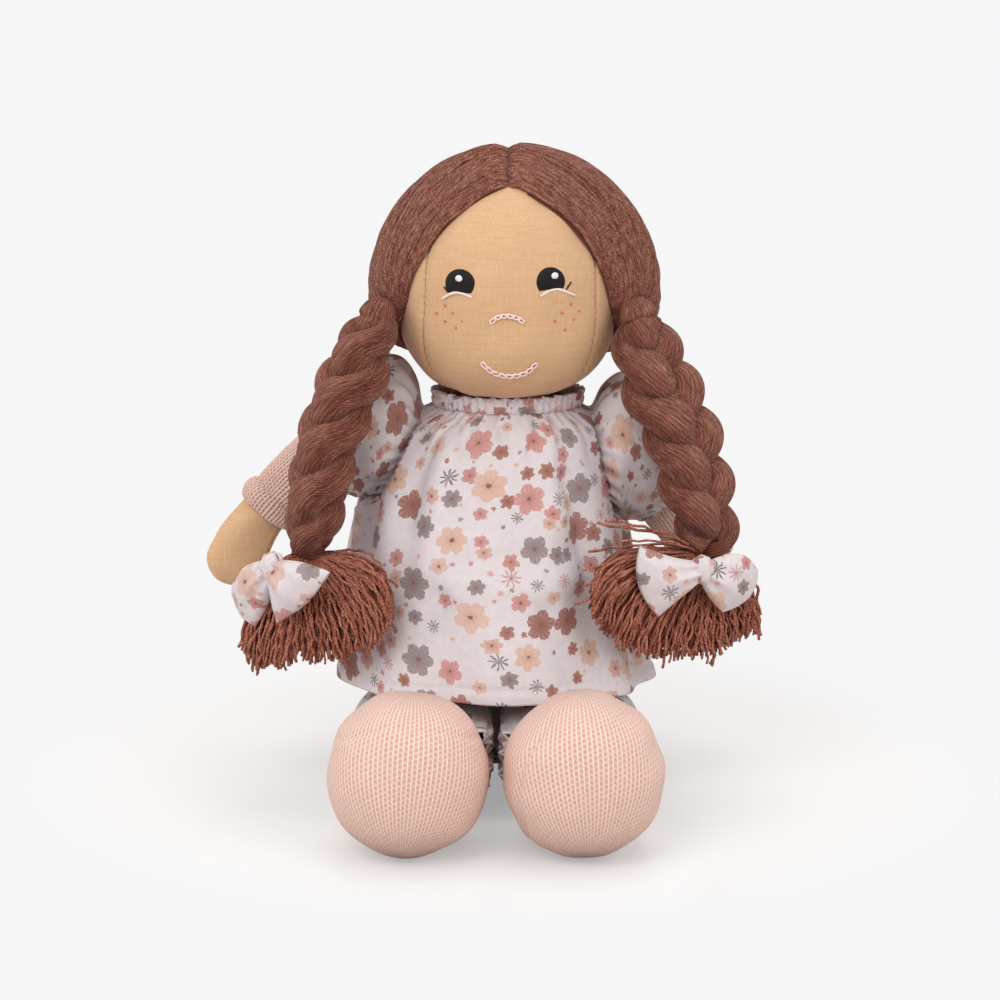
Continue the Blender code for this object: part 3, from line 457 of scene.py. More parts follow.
def clear_of(tree, layer, other_pitch, other_jitter, shift, room):
    """1 where a layer's own flower centre lies more than room mm from the other layer's nearest centre."""
    centre = add(tree, "VectorMath", {0: layer.outputs["Position"], 1: shift}, operation="ADD")
    other = scatter(tree, centre, other_pitch, other_jitter)
    return add(tree, "Math", {0: other.outputs["Distance"], 1: room / other_pitch}, operation="GREATER_THAN")


def paint(tree, under, flower, shade, centre, streaky, brushed):
    """Lays a flower on the cloth: darker folds between its petals, paler streaks along them, a small centre."""
    mask, petal, share, streak = flower
    fold = math_chain(tree, petal, ("MULTIPLY", -1.1), ("ADD", 0.62), ("MAXIMUM", 0.0))
    inner = math_chain(tree, share, ("MULTIPLY", -0.9), ("ADD", 0.45), ("MAXIMUM", 0.0))
    dark = add(tree, "Math", {0: fold, 1: inner}, operation="ADD", use_clamp=True)
    tone = mix_colours(tree, math_chain(tree, dark, ("MULTIPLY", 0.55)), shade, centre)
    rim = math_chain(tree, share, ("MULTIPLY", 1.6), ("SUBTRACT", 0.35))
    rim.use_clamp = True
    pale = math_chain(tree, streak, ("MULTIPLY", rim), ("MULTIPLY", brushed), ("MULTIPLY", streaky))
    pale.use_clamp = True
    tone = mix_colours(tree, pale, tone, linear("#DDCFCC"))
    dot = math_chain(tree, share, ("MULTIPLY", -12.0), ("ADD", 2.0))
    dot.use_clamp = True
    return mix_colours(tree, mask, under, mix_colours(tree, dot, tone, centre))


# %% Print cotton
LARGE, MEDIUM, DAISY, TINY = 22.0, 11.5, 11.0, 6.8  # the pitch of each layer in mm, which names it too
SHIFTS = {LARGE: (0.0, 0.0, 0.0), MEDIUM: (37.0, 11.0, 0.0), DAISY: (71.0, 53.0, 0.0), TINY: (19.0, 83.0, 0.0)}
JITTER = {LARGE: 0.7, MEDIUM: 0.75, DAISY: 0.8, TINY: 0.9}
# Layer, radius, petals (None for 5 or 6), pinch, sharpness, room to larger flowers, streaks, centre and shades.
FLOWERS = [
    (TINY, 1.25, 5, 0.4, 0.8, {LARGE: 6.8, MEDIUM: 4.2, DAISY: 4.4}, 0.1, "#B27F73",
     ["#D3A9A4", "#9C8F8D", "#D5B3A6", "#C98F89", "#A57468"]),
    (DAISY, 3.6, 9, 0.9, 2.0, {LARGE: 8.4, MEDIUM: 5.4}, 0.1, "#978880",
     ["#857A7A", "#948A89", "#C39A93", "#7C7273", "#8B8180"]),
    (MEDIUM, 3.7, None, 0.42, 0.6, {LARGE: 8.4}, 0.25, "#87584D",
     ["#C48D88", "#9F6F64", "#D0AEA2", "#BE8681", "#A06C5E", "#8F807F", "#CBA396"]),
    (LARGE, 6.4, None, 0.42, 0.5, {}, 0.25, "#8A5F55",
     ["#9A6A5F", "#D3B0A2", "#C58E88", "#938484", "#D1AD9B", "#A3736A", "#8E807F"])]


def flower_layer(tree, where, pitch, size, petals, pinch, sharp, rooms):
    """One layer of flowers; rooms gives how far its centres stay from those of each larger layer."""
    moved = add(tree, "VectorMath", {0: where, 1: SHIFTS[pitch]}, operation="ADD")
    layer = scatter(tree, moved, pitch, JITTER[pitch])
    if petals is None:
        petals = math_chain(tree, add(tree, "SeparateColor", {0: layer.outputs["Color"]}).outputs[1],
                            ("GREATER_THAN", 0.5), ("ADD", 5.0))
    (mask, *rest), chance = blossom(tree, moved, layer, size, petals, pinch, sharp)
    for other, room in rooms.items():
        back = tuple(b - a for a, b in zip(SHIFTS[pitch], SHIFTS[other]))
        clear = clear_of(tree, layer, other, JITTER[other], back, room)
        mask = add(tree, "Math", {0: mask, 1: clear}, operation="MULTIPLY")
    return (mask, *rest), chance.outputs[1]


def print_cotton(name, ground, bright):
    """White cotton: a faintly patchy ground, the four layers of flowers on it, and its weave and soft creases."""
    material, output = new_material(name)
    tree = material.node_tree
    flat = add(tree, "UVMap", uv_map="cloth").outputs[0]
    part = add(tree, "SeparateXYZ", {0: flat})
    wobble = flat_noise(tree, flat, 0.6, 3.0)
    wobble = add(tree, "VectorMath", {0: wobble.outputs["Color"], 1: (0.5, 0.5, 0.5)}, operation="SUBTRACT")
    where = add(tree, "VectorMath", {0: wobble, 1: (1.3, 1.3, 0.0), 2: flat}, operation="MULTIPLY_ADD")
    patch = flat_noise(tree, flat, 0.35, 1.0)
    brushed = math_chain(tree, flat_noise(tree, flat, 0.9, 2.0), ("MULTIPLY", 2.6), ("SUBTRACT", 0.55))
    cloth = mix_colours(tree, patch, linear(ground), linear(bright))
    for *shape, streaky, centre, shades in FLOWERS:
        flower, chance = flower_layer(tree, where, *shape)
        cloth = paint(tree, cloth, flower, pick(tree, chance, shades), linear(centre), streaky, brushed)
    weave = cotton_weave(tree, part.outputs[0], part.outputs[1], 0.7)
    height = times_plus(tree, flat_noise(tree, flat, 0.12, 3.0), 5.0, weave)
    finish_cloth(tree, output, cloth, height, 0.0001, 0.88, 0.08, 0.7)
    return material


PRINT = print_cotton("printed_white_cotton", "#D0C5C7", "#DBD1D2")

# %% [markdown]
# ## Camera, white ground and light
# The photograph is a product shot: a long lens a little above the doll, a plain white ground and soft light
# from all round, a bit more from above. Such a ground hardly shows its shadow, so the floor is drawn as the
# white itself away from the doll and takes real light and shadow only near it.

# %% Camera
def facing(location, target):
    """The rotation that turns a camera or lamp at a place towards its target, both in metres."""
    way = np.array(target) - np.array(location)
    return math.atan2(math.hypot(way[0], way[1]), -way[2]), 0.0, math.atan2(-way[0], way[1])


lens = bpy.data.cameras.new("camera")
lens.sensor_width, lens.lens = 36.0, 117.0
lens.clip_end = 20.0
camera = bpy.data.objects.new("camera", lens)
bpy.context.scene.collection.objects.link(camera)
camera.location = (-0.0016, -1.27159, 0.37859)
camera.rotation_euler = facing(camera.location, (-0.0016, 0.0, 0.1083))
bpy.context.scene.camera = camera
bpy.context.scene.view_settings.view_transform = "Standard"

# %% Ground and surroundings
GROUND, WHITE_LIGHT = "#F6F6F6", (1.0, 1.0, 1.0, 1.0)
GROUND_SIZE, GROUND_Z = 6000.0, -0.05  # half its width, and just under the feet, in mm
world = bpy.data.worlds.new("studio")
bpy.context.scene.world = world
world.use_nodes = True
world.node_tree.nodes.clear()
seen = add(world.node_tree, "Background", {"Color": linear(GROUND), "Strength": 1.0})
lit = add(world.node_tree, "Background", {"Color": WHITE_LIGHT, "Strength": 0.74})
ray = add(world.node_tree, "LightPath").outputs["Is Camera Ray"]
add(world.node_tree, "OutputWorld", {"Surface": add(world.node_tree, "MixShader", {0: ray, 1: lit, 2: seen})})

material, output = new_material("white_paper_ground")
tree = material.node_tree
away = add(tree, "VectorMath", {0: add(tree, "TexCoord").outputs["Object"]}, operation="LENGTH").outputs["Value"]
near = math_chain(tree, away, ("SUBTRACT", 0.14), ("MULTIPLY", -16.0), ("ADD", 1.0))
near.use_clamp = True
paper = add(tree, "BsdfDiffuse", {"Color": linear("#F2EFED")})
plain = add(tree, "Emission", {"Color": linear(GROUND)})
blend = add(tree, "MixShader", {0: math_chain(tree, near, ("MULTIPLY", 0.6)), 1: plain, 2: paper})
shine = add(tree, "BsdfGlossy", {"Color": WHITE_LIGHT, "Roughness": 0.12})
glossed = add(tree, "MixShader", {0: math_chain(tree, near, ("MULTIPLY", 0.07)), 1: blend, 2: shine})
path = add(tree, "LightPath").outputs["Is Camera Ray"]
quiet = add(tree, "BsdfDiffuse", {"Color": linear("#D0CCC9")})
tree.links.new(add(tree, "MixShader", {0: path, 1: quiet, 2: glossed}).outputs[0], output.inputs["Surface"])
points = [[x * GROUND_SIZE, y * GROUND_SIZE, GROUND_Z] for x, y in ((-1, -1), (1, -1), (1, 1), (-1, 1))]
floor = mesh_object("ground", np.array(points), [np.array([[0, 1, 2, 3]])])
floor.data.materials.append(material)
floor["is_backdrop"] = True

# %% Lights
def soft_box(name, location, target, size, power):
    """A square area light at a place in metres, turned to its target."""
    data = bpy.data.lights.new(name, "AREA")
    data.shape, data.size, data.energy = "SQUARE", size, power
    lamp = bpy.data.objects.new(name, data)
    bpy.context.scene.collection.objects.link(lamp)
    lamp.location = location
    lamp.rotation_euler = facing(location, target)
    lamp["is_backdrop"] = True


soft_box("key", (-0.55, -1.1, 1.15), (0.0, 0.0, 0.12), 0.8, 7.0)
soft_box("fill", (0.95, -0.95, 0.6), (0.0, 0.0, 0.1), 0.9, 5.0)
soft_box("side", (-1.1, -0.6, 0.4), (0.0, 0.0, 0.12), 0.8, 3.0)
soft_box("top", (0.1, 0.25, 1.3), (0.0, 0.0, 0.15), 0.8, 4.0)

# %% [markdown]
# ## The head
# A stuffed ball of cotton, very nearly an ellipsoid, sewn from a face piece and side pieces. Each side seam runs
# down the cheek as a groove that the thread pulls in, with small puckers across it.

# %% Head
HEAD_CENTRE = np.array([1.5, 0.0, 198.5])
HEAD_SIZE = np.array([44.0, 44.0, 47.0])
SEAM_AZIMUTH = {"right": (48.0, 14.0), "left": (52.0, 6.0)}


def jaw(level, height):
    """How far a ray in the unit ball goes on: 1 above the middle, and below it out to a squarer jaw.

    There the outline is |level|^p + |height|^p = 1 with p rising from 2 to 2.8, as the full head sits on the neck.
    """
    length = np.maximum(np.hypot(level, height), 1e-9)
    level, below = np.abs(level) / length, np.clip(-height / length, 0, 1)
    power = 2 + 0.8 * smooth(below, 0.0, 0.5)
    return np.where(below > 0, (level ** power + below ** power) ** (-1 / power), 1.0)


def seam_line(side, rise):
    """Azimuth of a side seam at a rise: straight above the middle, swinging off below it."""
    straight, spread = np.radians(SEAM_AZIMUTH[side])
    return straight + spread * np.clip(-rise, 0, 1.2) ** 1.5


def head_surface(azimuth, rise):
    """Point at an azimuth from the front (to the doll's left) and a rise, both in radians, groove included."""
    way = stack(np.sin(azimuth) * np.cos(rise), -np.cos(azimuth) * np.cos(rise), np.sin(rise))
    full = jaw(np.cos(rise), np.sin(rise))[..., None]
    groove = 0.0
    for side, sign in SIDES.items():
        away = (azimuth * sign - seam_line(side, rise)) * np.cos(rise) * HEAD_SIZE[0]
        pucker = 0.18 * np.cos(rise * HEAD_SIZE[2] * 2 * math.pi / 3.2) * bump(away, 2.4)
        groove = groove - 0.8 * bump(away, 0.75) - 0.35 * bump(away, 3.0) + pucker
    lumps = 0.3 * wave_noise(azimuth * 40, rise * 46, 4, 34.0)
    return HEAD_CENTRE + way * (HEAD_SIZE * full + (groove + lumps)[..., None])


columns, rows = 400, 200
around = np.linspace(-math.pi, math.pi, columns, endpoint=False)
upward = np.linspace(-0.496, 0.496, rows) * math.pi
grid = head_surface(*np.meshgrid(around, upward))
head = place(skin_grid("head_ball", grid, ends=(True, True)), SKIN, "head", "head")
print("head:", len(head.data.polygons), "faces")

# %% [markdown]
# ## The embroidered face
# Everything on the face is thread lying on the cloth, so one function finds the place on the face for a point
# seen from the front, and each feature is a low shape above it: satin-stitched eyes, small knots for freckles
# and chain stitches for the nose and the mouth.

# %% Places on the face
def on_face(x, z, lift=0.0):
    """The face's surface in front of (x, z) in mm, raised by lift along its normal."""
    aside, above = (x - HEAD_CENTRE[0]) / HEAD_SIZE[0], (z - HEAD_CENTRE[2]) / HEAD_SIZE[2]
    front = np.sqrt(np.maximum(1 - aside ** 2 - above ** 2, 0.01))
    for _ in range(8):
        full = jaw(np.hypot(aside, front), above)
        front = np.sqrt(np.maximum(full ** 2 - aside ** 2 - above ** 2, 0.01))
    point = stack(x, -HEAD_SIZE[1] * front, z)
    normal = unit((point - HEAD_CENTRE) / HEAD_SIZE ** 2)
    return point + normal * np.asarray(lift)[..., None]


def dome(x, z, wide, high, lift, lid=None, columns=48, rows=12):
    """A low dome on the face. Where a lid (height, slope, curve) is given, its lower edge follows that arc."""
    reach, turn = np.meshgrid(np.linspace(0.02, 1, rows), turns(columns), indexing="ij")
    aside, above = wide * reach * np.cos(turn), high * reach * np.sin(turn)
    if lid is not None:
        above = np.maximum(above, lid[0] + lid[1] * aside - lid[2] * aside ** 2)
    height = lift * np.sqrt(np.clip(1.03 - reach ** 2, 0, 1)) - 0.1
    return on_face(x + aside, z + above, height)


def thread_on_face(name, points, radius, lift, material, steps=30):
    """A thread laid over the face through points (x, z)."""
    points = np.asarray(points, float)
    stations = np.linspace(0, 1, len(points))
    at = np.linspace(0, 1, steps)
    path = on_face(curve(stations, points[:, 0], at), curve(stations, points[:, 1], at), np.full(steps, lift))
    thin = radius * (0.35 + 0.65 * np.sin(np.linspace(0.15, math.pi - 0.15, steps)) ** 0.4)
    return place(tubes(name, path[None], thin[None], 10), material, "head")


# %% Thread and yarn materials
def thread(name, shade, roughness, sheen, grain=None):
    """Embroidery cotton; grain (pitch in mm, axis) draws its single strands."""
    material, output = new_material(name)
    tree = material.node_tree
    height = None
    if grain is not None:
        part = object_mm(tree, add(tree, "TexCoord").outputs["Object"])
        height = waves(tree, part.outputs[grain[1]], grain[0])
    finish_cloth(tree, output, linear(shade), height, 0.0001, roughness, sheen)
    return material


BLACK = thread("black_satin_stitch", "#15110F", 0.42, 0.05, (0.7, 0))
WHITE = thread("white_satin_stitch", "#E6E4E6", 0.6, 0.1, (0.5, 2))
LID = thread("pale_lid_thread", "#EAD6CB", 0.7, 0.15)
LASH = thread("dark_lash_thread", "#3A2620", 0.7, 0.1)
KNOT = thread("orange_red_knots", "#D0714F", 0.7, 0.1)
PINK = thread("pale_pink_chain_stitch", "#ECCFC8", 0.75, 0.2)
SEAM_SHADOW = thread("seam_shadow_thread", "#A97C57", 0.85, 0.05)

# %% Painted seam shadow: darker stitches along the side seams
rise = np.linspace(-1.25, 0.55, 260)
for side, sign in SIDES.items():
    line = head_surface(sign * seam_line(side, rise), rise)
    line = line + unit(line - HEAD_CENTRE) * 0.05
    size = 0.2 + 0.06 * np.cos(np.arange(len(rise)) * 0.9)
    # A thin darker thread in each seam groove: painted shade of the groove
    place(tubes("seam_shadow_stitches_" + side, line[None], size[None], 6), SEAM_SHADOW, "head")

# %% Eyes, lids, lashes and freckles
EYES = {"right": (-16.7, 201.0), "left": (18.1, 202.2)}
LIDS = {"right": (-3.0, 0.07, 0.035), "left": (-2.9, -0.03, 0.035)}
LID_LINES = {"right": [(-23.6, 194.9), (-20.8, 196.9), (-17.2, 197.9), (-12.2, 196.4)],
             "left": [(13.7, 196.8), (17.2, 198.8), (21.0, 199.0), (27.0, 196.2)]}
LASHES = {"right": [(-22.9, 199.6), (-21.2, 197.5)], "left": [(25.6, 201.6), (23.5, 198.7)]}
GLINTS = {"right": (-17.0, 203.2), "left": (19.0, 204.3)}
FRECKLES = {"right": [(-22.7, 192.3), (-26.2, 188.9), (-19.6, 189.6), (-22.7, 186.1), (-16.2, 186.7),
                      (-18.5, 184.0)],
            "left": [(25.6, 192.9), (28.8, 189.8), (22.2, 189.7), (26.7, 186.8), (19.5, 186.7), (23.4, 183.0)]}
for side in SIDES:
    eye = skin_grid("eye_" + side, dome(*EYES[side], 5.8, 5.8, 1.0, LIDS[side]), ends=(True, False))
    place(eye, BLACK, "head")
    place(skin_grid("eye_glint_" + side, dome(*GLINTS[side], 1.75, 1.6, 1.35, columns=24), ends=(True, False)),
          WHITE, "head")
    thread_on_face("eye_lid_" + side, LID_LINES[side], 0.62, 0.35, LID)
    thread_on_face("lash_" + side, LASHES[side], 0.42, 0.25, LASH)
    spots = [dome(x, z, 0.62, 0.56, 0.45, columns=12, rows=5) for x, z in FRECKLES[side]]
    for i, spot in enumerate(spots):
        place(skin_grid(f"freckle_{side}_{i + 1}", spot, ends=(True, False)), KNOT, "head")
print("eyes and", 2 * len(spots), "freckles")


# %% Chain stitch for the nose and the mouth
def chain_stitch(name, points, links, length, half_width, radius):
    """Loops of thread in a row along an arc, each lying in the end of the one before."""
    points = np.asarray(points, float)
    stations = np.linspace(0, 1, len(points))
    fine = np.linspace(0, 1, 200)
    line = np.stack([curve(stations, points[:, i], fine) for i in (0, 1)], -1)
    run = run_along(line)
    starts = np.linspace(0, run[-1] - length * 0.85, links)
    turn = np.linspace(0, 2 * math.pi, 25)
    along = length * (0.5 - 0.5 * np.cos(turn))
    aside = half_width * np.sin(turn) * (0.75 + 0.25 * np.cos(turn))
    at = starts[:, None] + along
    centre = np.stack([np.interp(at, run, line[:, i]) for i in (0, 1)], -1)
    way = unit(np.stack([np.interp(at + 0.2, run, line[:, i]) - np.interp(at - 0.2, run, line[:, i])
                         for i in (0, 1)], -1))
    x = centre[..., 0] - way[..., 1] * aside
    z = centre[..., 1] + way[..., 0] * aside
    lift = 0.3 + 0.35 * (along / length) * np.ones_like(x)
    return place(tubes(name, on_face(x, z, lift), radius, 8), PINK, "head")


NOSE = [(-5.2, 186.6), (-3.0, 188.6), (0.9, 189.5), (5.0, 188.6), (7.4, 187.0)]
MOUTH = [(-8.6, 170.6), (-4.0, 166.6), (2.3, 165.1), (8.3, 166.6), (12.4, 170.4)]
chain_stitch("nose_chain", NOSE, 6, 3.0, 0.85, 0.4)
chain_stitch("mouth_chain", MOUTH, 9, 3.2, 0.9, 0.42)
print("nose and mouth: 15 chain stitches")

# %% [markdown]
# ## Yarn
# Wool yarn is two plies twisted together: at this size it shows as a fine slanting ripple, painted darker in its
# grooves as shade, while the light between neighbouring yarns makes the dark lines. Each yarn gets its own tone,
# a number stored on its points; on the plaits this number also carries painted shade between yarns and strands.

# %% Yarn materials
def yarn(name, dark, base, light, ply_shade_share):
    """Brown wool: fine streaks of fibre drawn out along the yarn over its twist, toned yarn by yarn.

    The ply wave also darkens the colour in the twist's grooves: painted shade.
    """
    material, output = new_material(name)
    tree = material.node_tree
    tone = add(tree, "Attribute", attribute_name="tone").outputs["Fac"]
    cloth = add(tree, "UVMap", uv_map="cloth").outputs[0]
    drawn = add(tree, "Mapping", {"Vector": cloth, "Rotation": (0.0, 0.0, 0.2), "Scale": (2.8, 0.3, 1.0)})
    fibre = add(tree, "TexNoise", {"Vector": drawn, "Scale": 1.0, "Detail": 4.0, "Roughness": 0.65},
                noise_dimensions="2D")
    part = add(tree, "SeparateXYZ", {0: cloth})
    slant = times_plus(tree, part.outputs[0], 1.3, part.outputs[1])
    slant = times_plus(tree, fibre, 1.6, slant)
    ply = waves(tree, slant, 1.5)
    patch = flat_noise(tree, cloth, 0.16, 2.0)
    mixed = math_chain(tree, fibre, ("MULTIPLY", 2.3), ("SUBTRACT", 0.85))
    # ply darkens the twist's grooves as painted shade; tone is each yarn's own, and on the plaits also painted shade
    for value, share in ((tone, 0.3), (patch, 0.4), (ply, ply_shade_share)):
        mixed = times_plus(tree, value, share, mixed)
    ramp = add(tree, "ValToRGB", {0: math_chain(tree, mixed, ("SUBTRACT", 0.15 + ply_shade_share / 2))})
    ramp.color_ramp.elements[0].color = linear(dark)
    ramp.color_ramp.elements[1].color = linear(light)
    ramp.color_ramp.elements.new(0.5).color = linear(base)
    height = add(tree, "Math", {0: ply, 1: fibre}, operation="ADD")
    finish_cloth(tree, output, ramp, height, 0.00035, 0.95, 0.1, 0.8)
    return material


HAIR = yarn("brown_wool_yarn", "#552A1E", "#834D3D", "#AC7967", 0.22)
ENDS = yarn("loose_brown_yarn_ends", "#703727", "#A8604A", "#CB8E78", 0.3)
ELASTIC = thread("pale_elastic", "#E8DED2", 0.7, 0.1)
DARK_TIE = thread("brown_tie_thread", "#6E3C2E", 0.85, 0.1)

# %% [markdown]
# ## The hair
# The yarn is laid from a centre parting, round the head to the ear, and sewn down. Each yarn follows a great
# circle from its place on the parting to the gather, so neighbours spread over the crown and close up at the
# ear. A plain shell underneath keeps the scalp covered; its tone is darker than any yarn's, as painted shade.

# %% Hair surface
HAIR_CENTRE, HAIR_SIZE = np.array([4.0, 3.0, 192.0]), np.array([57.5, 50.0, 58.5])
BRAID_ROOT = {"right": np.array([-50.0, -22, 184]), "left": np.array([53.0, -22, 184])}
HAIR_THIN = 2.2  # how far the hair stands off the scalp where it is thinnest
PART_FRONT, PART_BACK = math.asin(38.5 / 47), -math.asin(26.5 / 47)


def ellipsoid_reach(ways, start, centre, size):
    """How far each direction runs from the start to the ellipsoid's surface."""
    along, off = ways / size, (start - centre) / size
    a, b, c = (along ** 2).sum(-1), (along * off).sum(-1), (off ** 2).sum(-1) - 1
    return (-b + np.sqrt(b * b - a * c)) / a


def hair_points(side, rows, share, sink):
    """Points of the hair's outside: rows from 0 at the forehead to 1 at the nape, share from parting to ear."""
    turn = PART_FRONT + rows * (math.pi - PART_BACK - PART_FRONT)
    parting = unit(stack(0, -HEAD_SIZE[1] * np.cos(turn), HEAD_SIZE[2] * np.sin(turn)))
    gather = unit(BRAID_ROOT[side] - HEAD_CENTRE)
    angle = np.arccos(np.clip(parting @ gather, -1, 1))[..., None]
    part = share[..., None]
    ways = (np.sin((1 - part) * angle) * parting + np.sin(part * angle) * gather) / np.sin(angle)
    skin = ellipsoid_reach(ways, HEAD_CENTRE, HEAD_CENTRE, HEAD_SIZE)
    off = ways / HEAD_SIZE
    skin = skin * jaw(np.hypot(off[..., 0], off[..., 1]), off[..., 2])
    full = ellipsoid_reach(ways, HEAD_CENTRE, HAIR_CENTRE, HAIR_SIZE)
    crown = np.sin(np.clip(np.minimum(rows / 0.25, (1 - rows) / 0.15), 0, 1) * math.pi / 2)
    reach = skin + HAIR_THIN + np.maximum(full - skin - HAIR_THIN, 0) * crown - sink
    points = HEAD_CENTRE + ways * reach[..., None]
    sign = SIDES[side]
    points[..., 0] = HEAD_CENTRE[0] + sign * np.maximum(sign * (points[..., 0] - HEAD_CENTRE[0]), 0.15)
    return points


def make_hair(side, seed):
    """The yarns of one side and the shell under them."""
    rng = np.random.default_rng(seed)
    rows, share = np.meshgrid(np.linspace(-0.005, 1.0, 70), np.linspace(0, 1.0, 60), indexing="ij")
    shell = hair_points(side, rows, share, np.full(rows.shape, 1.9))
    # The shell's tone, -0.1, lies below every yarn's: painted shade under the yarns
    under = place(skin_grid("hair_shell_" + side, shell, round_=False, tone=np.full(shell.shape[:2], -0.1)),
                  HAIR, "head")
    laid, loose, steps = 150, 50, 36
    start = (np.arange(laid) + rng.uniform(-0.35, 0.35, laid)) / laid
    start = np.concatenate([start, rng.uniform(0, 1, loose)])
    count = len(start)
    share = np.linspace(0.0, 0.975, steps)[None] * np.ones((count, 1))
    wander = 0.010 * wave_noise(np.arange(count)[:, None] * 3.7, share * 60, seed + 1, 31.0)
    spread = np.sin(share * math.pi) ** 0.7
    rows = np.clip(start[:, None] + wander * spread + rng.normal(0, 0.004, (count, 1)) * share, 0.0, 1.0)
    deep = rng.uniform(-0.28, 0.28, (count, 1)) + 0.2 * wave_noise(rows * 400, share * 70, seed + 2, 24.0)
    deep = deep + 2.1 * (1 - smooth(share, 0.0, 0.05)) + np.where(np.arange(count) >= laid, -0.25, 0.0)[:, None]
    deep = deep + 3.0 * smooth(share, 0.86, 0.99)
    paths = hair_points(side, rows, share, deep + 0.8)
    radius = rng.uniform(0.72, 0.92, (count, 1)) * (1 - 0.3 * smooth(share, 0.8, 1.0))
    tone = rng.uniform(0.15, 0.85, count)
    yarns = place(tubes("hair_yarns_" + side, paths, radius, 5, tone), HAIR, "head", "hair_" + side)
    return count


for seed, side in ((21, "right"), (57, "left")):
    print("hair", side, make_hair(side, seed), "yarns")

# %% [markdown]
# ## The plaits
# In a plait each of three strands swings across as a sine of its phase and dips in and out as a sine of twice
# that phase, one third of a turn behind the last strand. Turning the whole plait a little about its own line
# shows more of one column of lobes, as in the photograph. A strand is a bundle of some 28 yarns, so its outline
# is an ellipse with a ridge for each yarn.

# %% Plait lines
BRAID_MIDDLE = {"right": np.array([-66.0, -33.5, 144]), "left": np.array([68.0, -31, 144])}
BRAID_END = {"right": np.array([-76.0, -40, 97]), "left": np.array([81.0, -38, 97])}
PLAIT_TURN = {"right": -83, "left": 52}
PLAIT_SCALE = {"right": 1.12, "left": 1.03}
PLAIT_LEAN = {"right": 1.0, "left": -2.6}
PLAIT_PHASE = {"right": 0.4, "left": 0.9}
YARN_TWIST = {"right": 0.35, "left": -0.35}
PLAIT_PITCH, SWING, DIP = 56.0, 8.4, 4.6  # length of one full turn and how far a strand swings and dips
STRAND_WIDE, STRAND_HIGH = 7.7, 6.3
STRAND_YARNS, HANK_YARNS, YARN_FACETS, YARN_PITCH = 28, 24, 6, 1.6


def braid_line(side, share):
    """The middle of the braid through root, middle and end, and its length."""
    places = np.array([BRAID_ROOT[side], BRAID_MIDDLE[side], BRAID_END[side]])
    run = run_along(places)
    return curve(run / run[-1], places, share), run[-1]


def rope(name, line, over, wide, high, ridges, depth, seed, twist=0.0):
    """A bundle of yarns: rings round a line, ridged once for each yarn, each yarn with its own tone.

    The tone is also darkened in the grooves between yarns and at the bundle's sides, where strands meet: painted
    shade.
    """
    rng = np.random.default_rng(seed)
    turn = turns(ridges * YARN_FACETS)
    way = unit(np.gradient(line, axis=0))
    across = unit(np.cross(way, over))
    rings = rings_round(np.zeros_like(line), across, np.cross(across, way), wide, high, turn, 2.2)
    run = run_along(line)
    drift = twist * run[:, None] + 0.3 * wave_noise(turn[None] * 6, run[:, None], seed, 30.0)
    phase = turn[None] * ridges / 2 + drift * math.pi / YARN_PITCH
    ridge = np.abs(np.cos(phase)) ** 0.7
    swell = 1 + 0.03 * wave_noise(turn[None] * 8, run[:, None] * 0.6, seed + 5, 13.0)
    size = np.linalg.norm(rings, axis=2)
    grid = line[:, None] + rings * (swell + depth * (ridge - 0.65) / np.maximum(size, 1.0))[..., None]
    which = (np.floor(phase / math.pi + 0.5).astype(int)) % ridges
    # Own tone per yarn, plus painted shade: darker in the grooves between yarns and at the sides where strands meet
    tone = 0.55 + 0.14 * (rng.uniform(-1, 1, ridges)[which]) + 0.8 * (ridge - 0.78)
    tone = tone - 0.9 * np.abs(np.cos(turn))[None] ** 10
    round_mm = np.linspace(0, ridges * YARN_PITCH, ridges * YARN_FACETS + 1) + closed(drift)
    return skin_grid(name, grid, stack(round_mm, run[:, None]) + seed * 7.0, ends=(True, True), tone=tone)


def make_plait(side, seed):
    """Three strands round the braid's line, which thicken below the ear and thin out to the tie."""
    share = np.linspace(0.015, 0.985, 150)
    line, length = braid_line(side, share)
    line[:, 0] += PLAIT_LEAN[side] * bump(share, 0.2, 0.22)
    way = unit(np.gradient(line, axis=0))
    level = unit(np.cross(way, Y_WAY))
    over = np.cross(level, way)
    angle = math.radians(PLAIT_TURN[side])
    level, over = (level * math.cos(angle) + over * math.sin(angle), over * math.cos(angle) - level * math.sin(angle))
    size = curve([0, 0.06, 0.16, 0.3, 0.6, 0.86, 0.95, 1], [0.66, 0.86, 1.03, 1.04, 0.99, 0.9, 0.74, 0.55], share)
    size = (size * PLAIT_SCALE[side] * (1 - 0.08 * bump(share, 0.12, 0.12)))[:, None]
    for strand in range(3):
        phase = 2 * math.pi * (share * length / PLAIT_PITCH + strand / 3) + PLAIT_PHASE[side]
        swing = np.tanh(1.1 * np.sin(phase)) / math.tanh(1.1)
        middle = line + SWING * size * swing[:, None] * level + DIP * size * np.sin(2 * phase)[:, None] * over
        front = 0.5 - 0.5 * np.sin(2 * phase)[:, None]
        plump = 0.9 + 0.16 * front
        wide, high = (STRAND_WIDE * size * plump)[:, 0], (STRAND_HIGH * size * plump)[:, 0]
        piece = rope(f"plait_{strand + 1}_{side}", middle, over, wide, high, STRAND_YARNS, 0.5, seed + strand,
                     YARN_TWIST[side])
        place(piece, HAIR, "braid_" + side, f"braid_strand_{strand + 1}_{side}")


for seed, side in ((100, "right"), (200, "left")):
    make_plait(side, seed)
print("plaits: 6 strands of", STRAND_YARNS, "yarns")


# %% Hank and ties
def end_ways(side):
    """Level, square and downward directions at the braid's end."""
    way = unit(BRAID_END[side] - BRAID_MIDDLE[side])
    level = unit(np.cross(way, Y_WAY))
    return level, np.cross(level, way), way


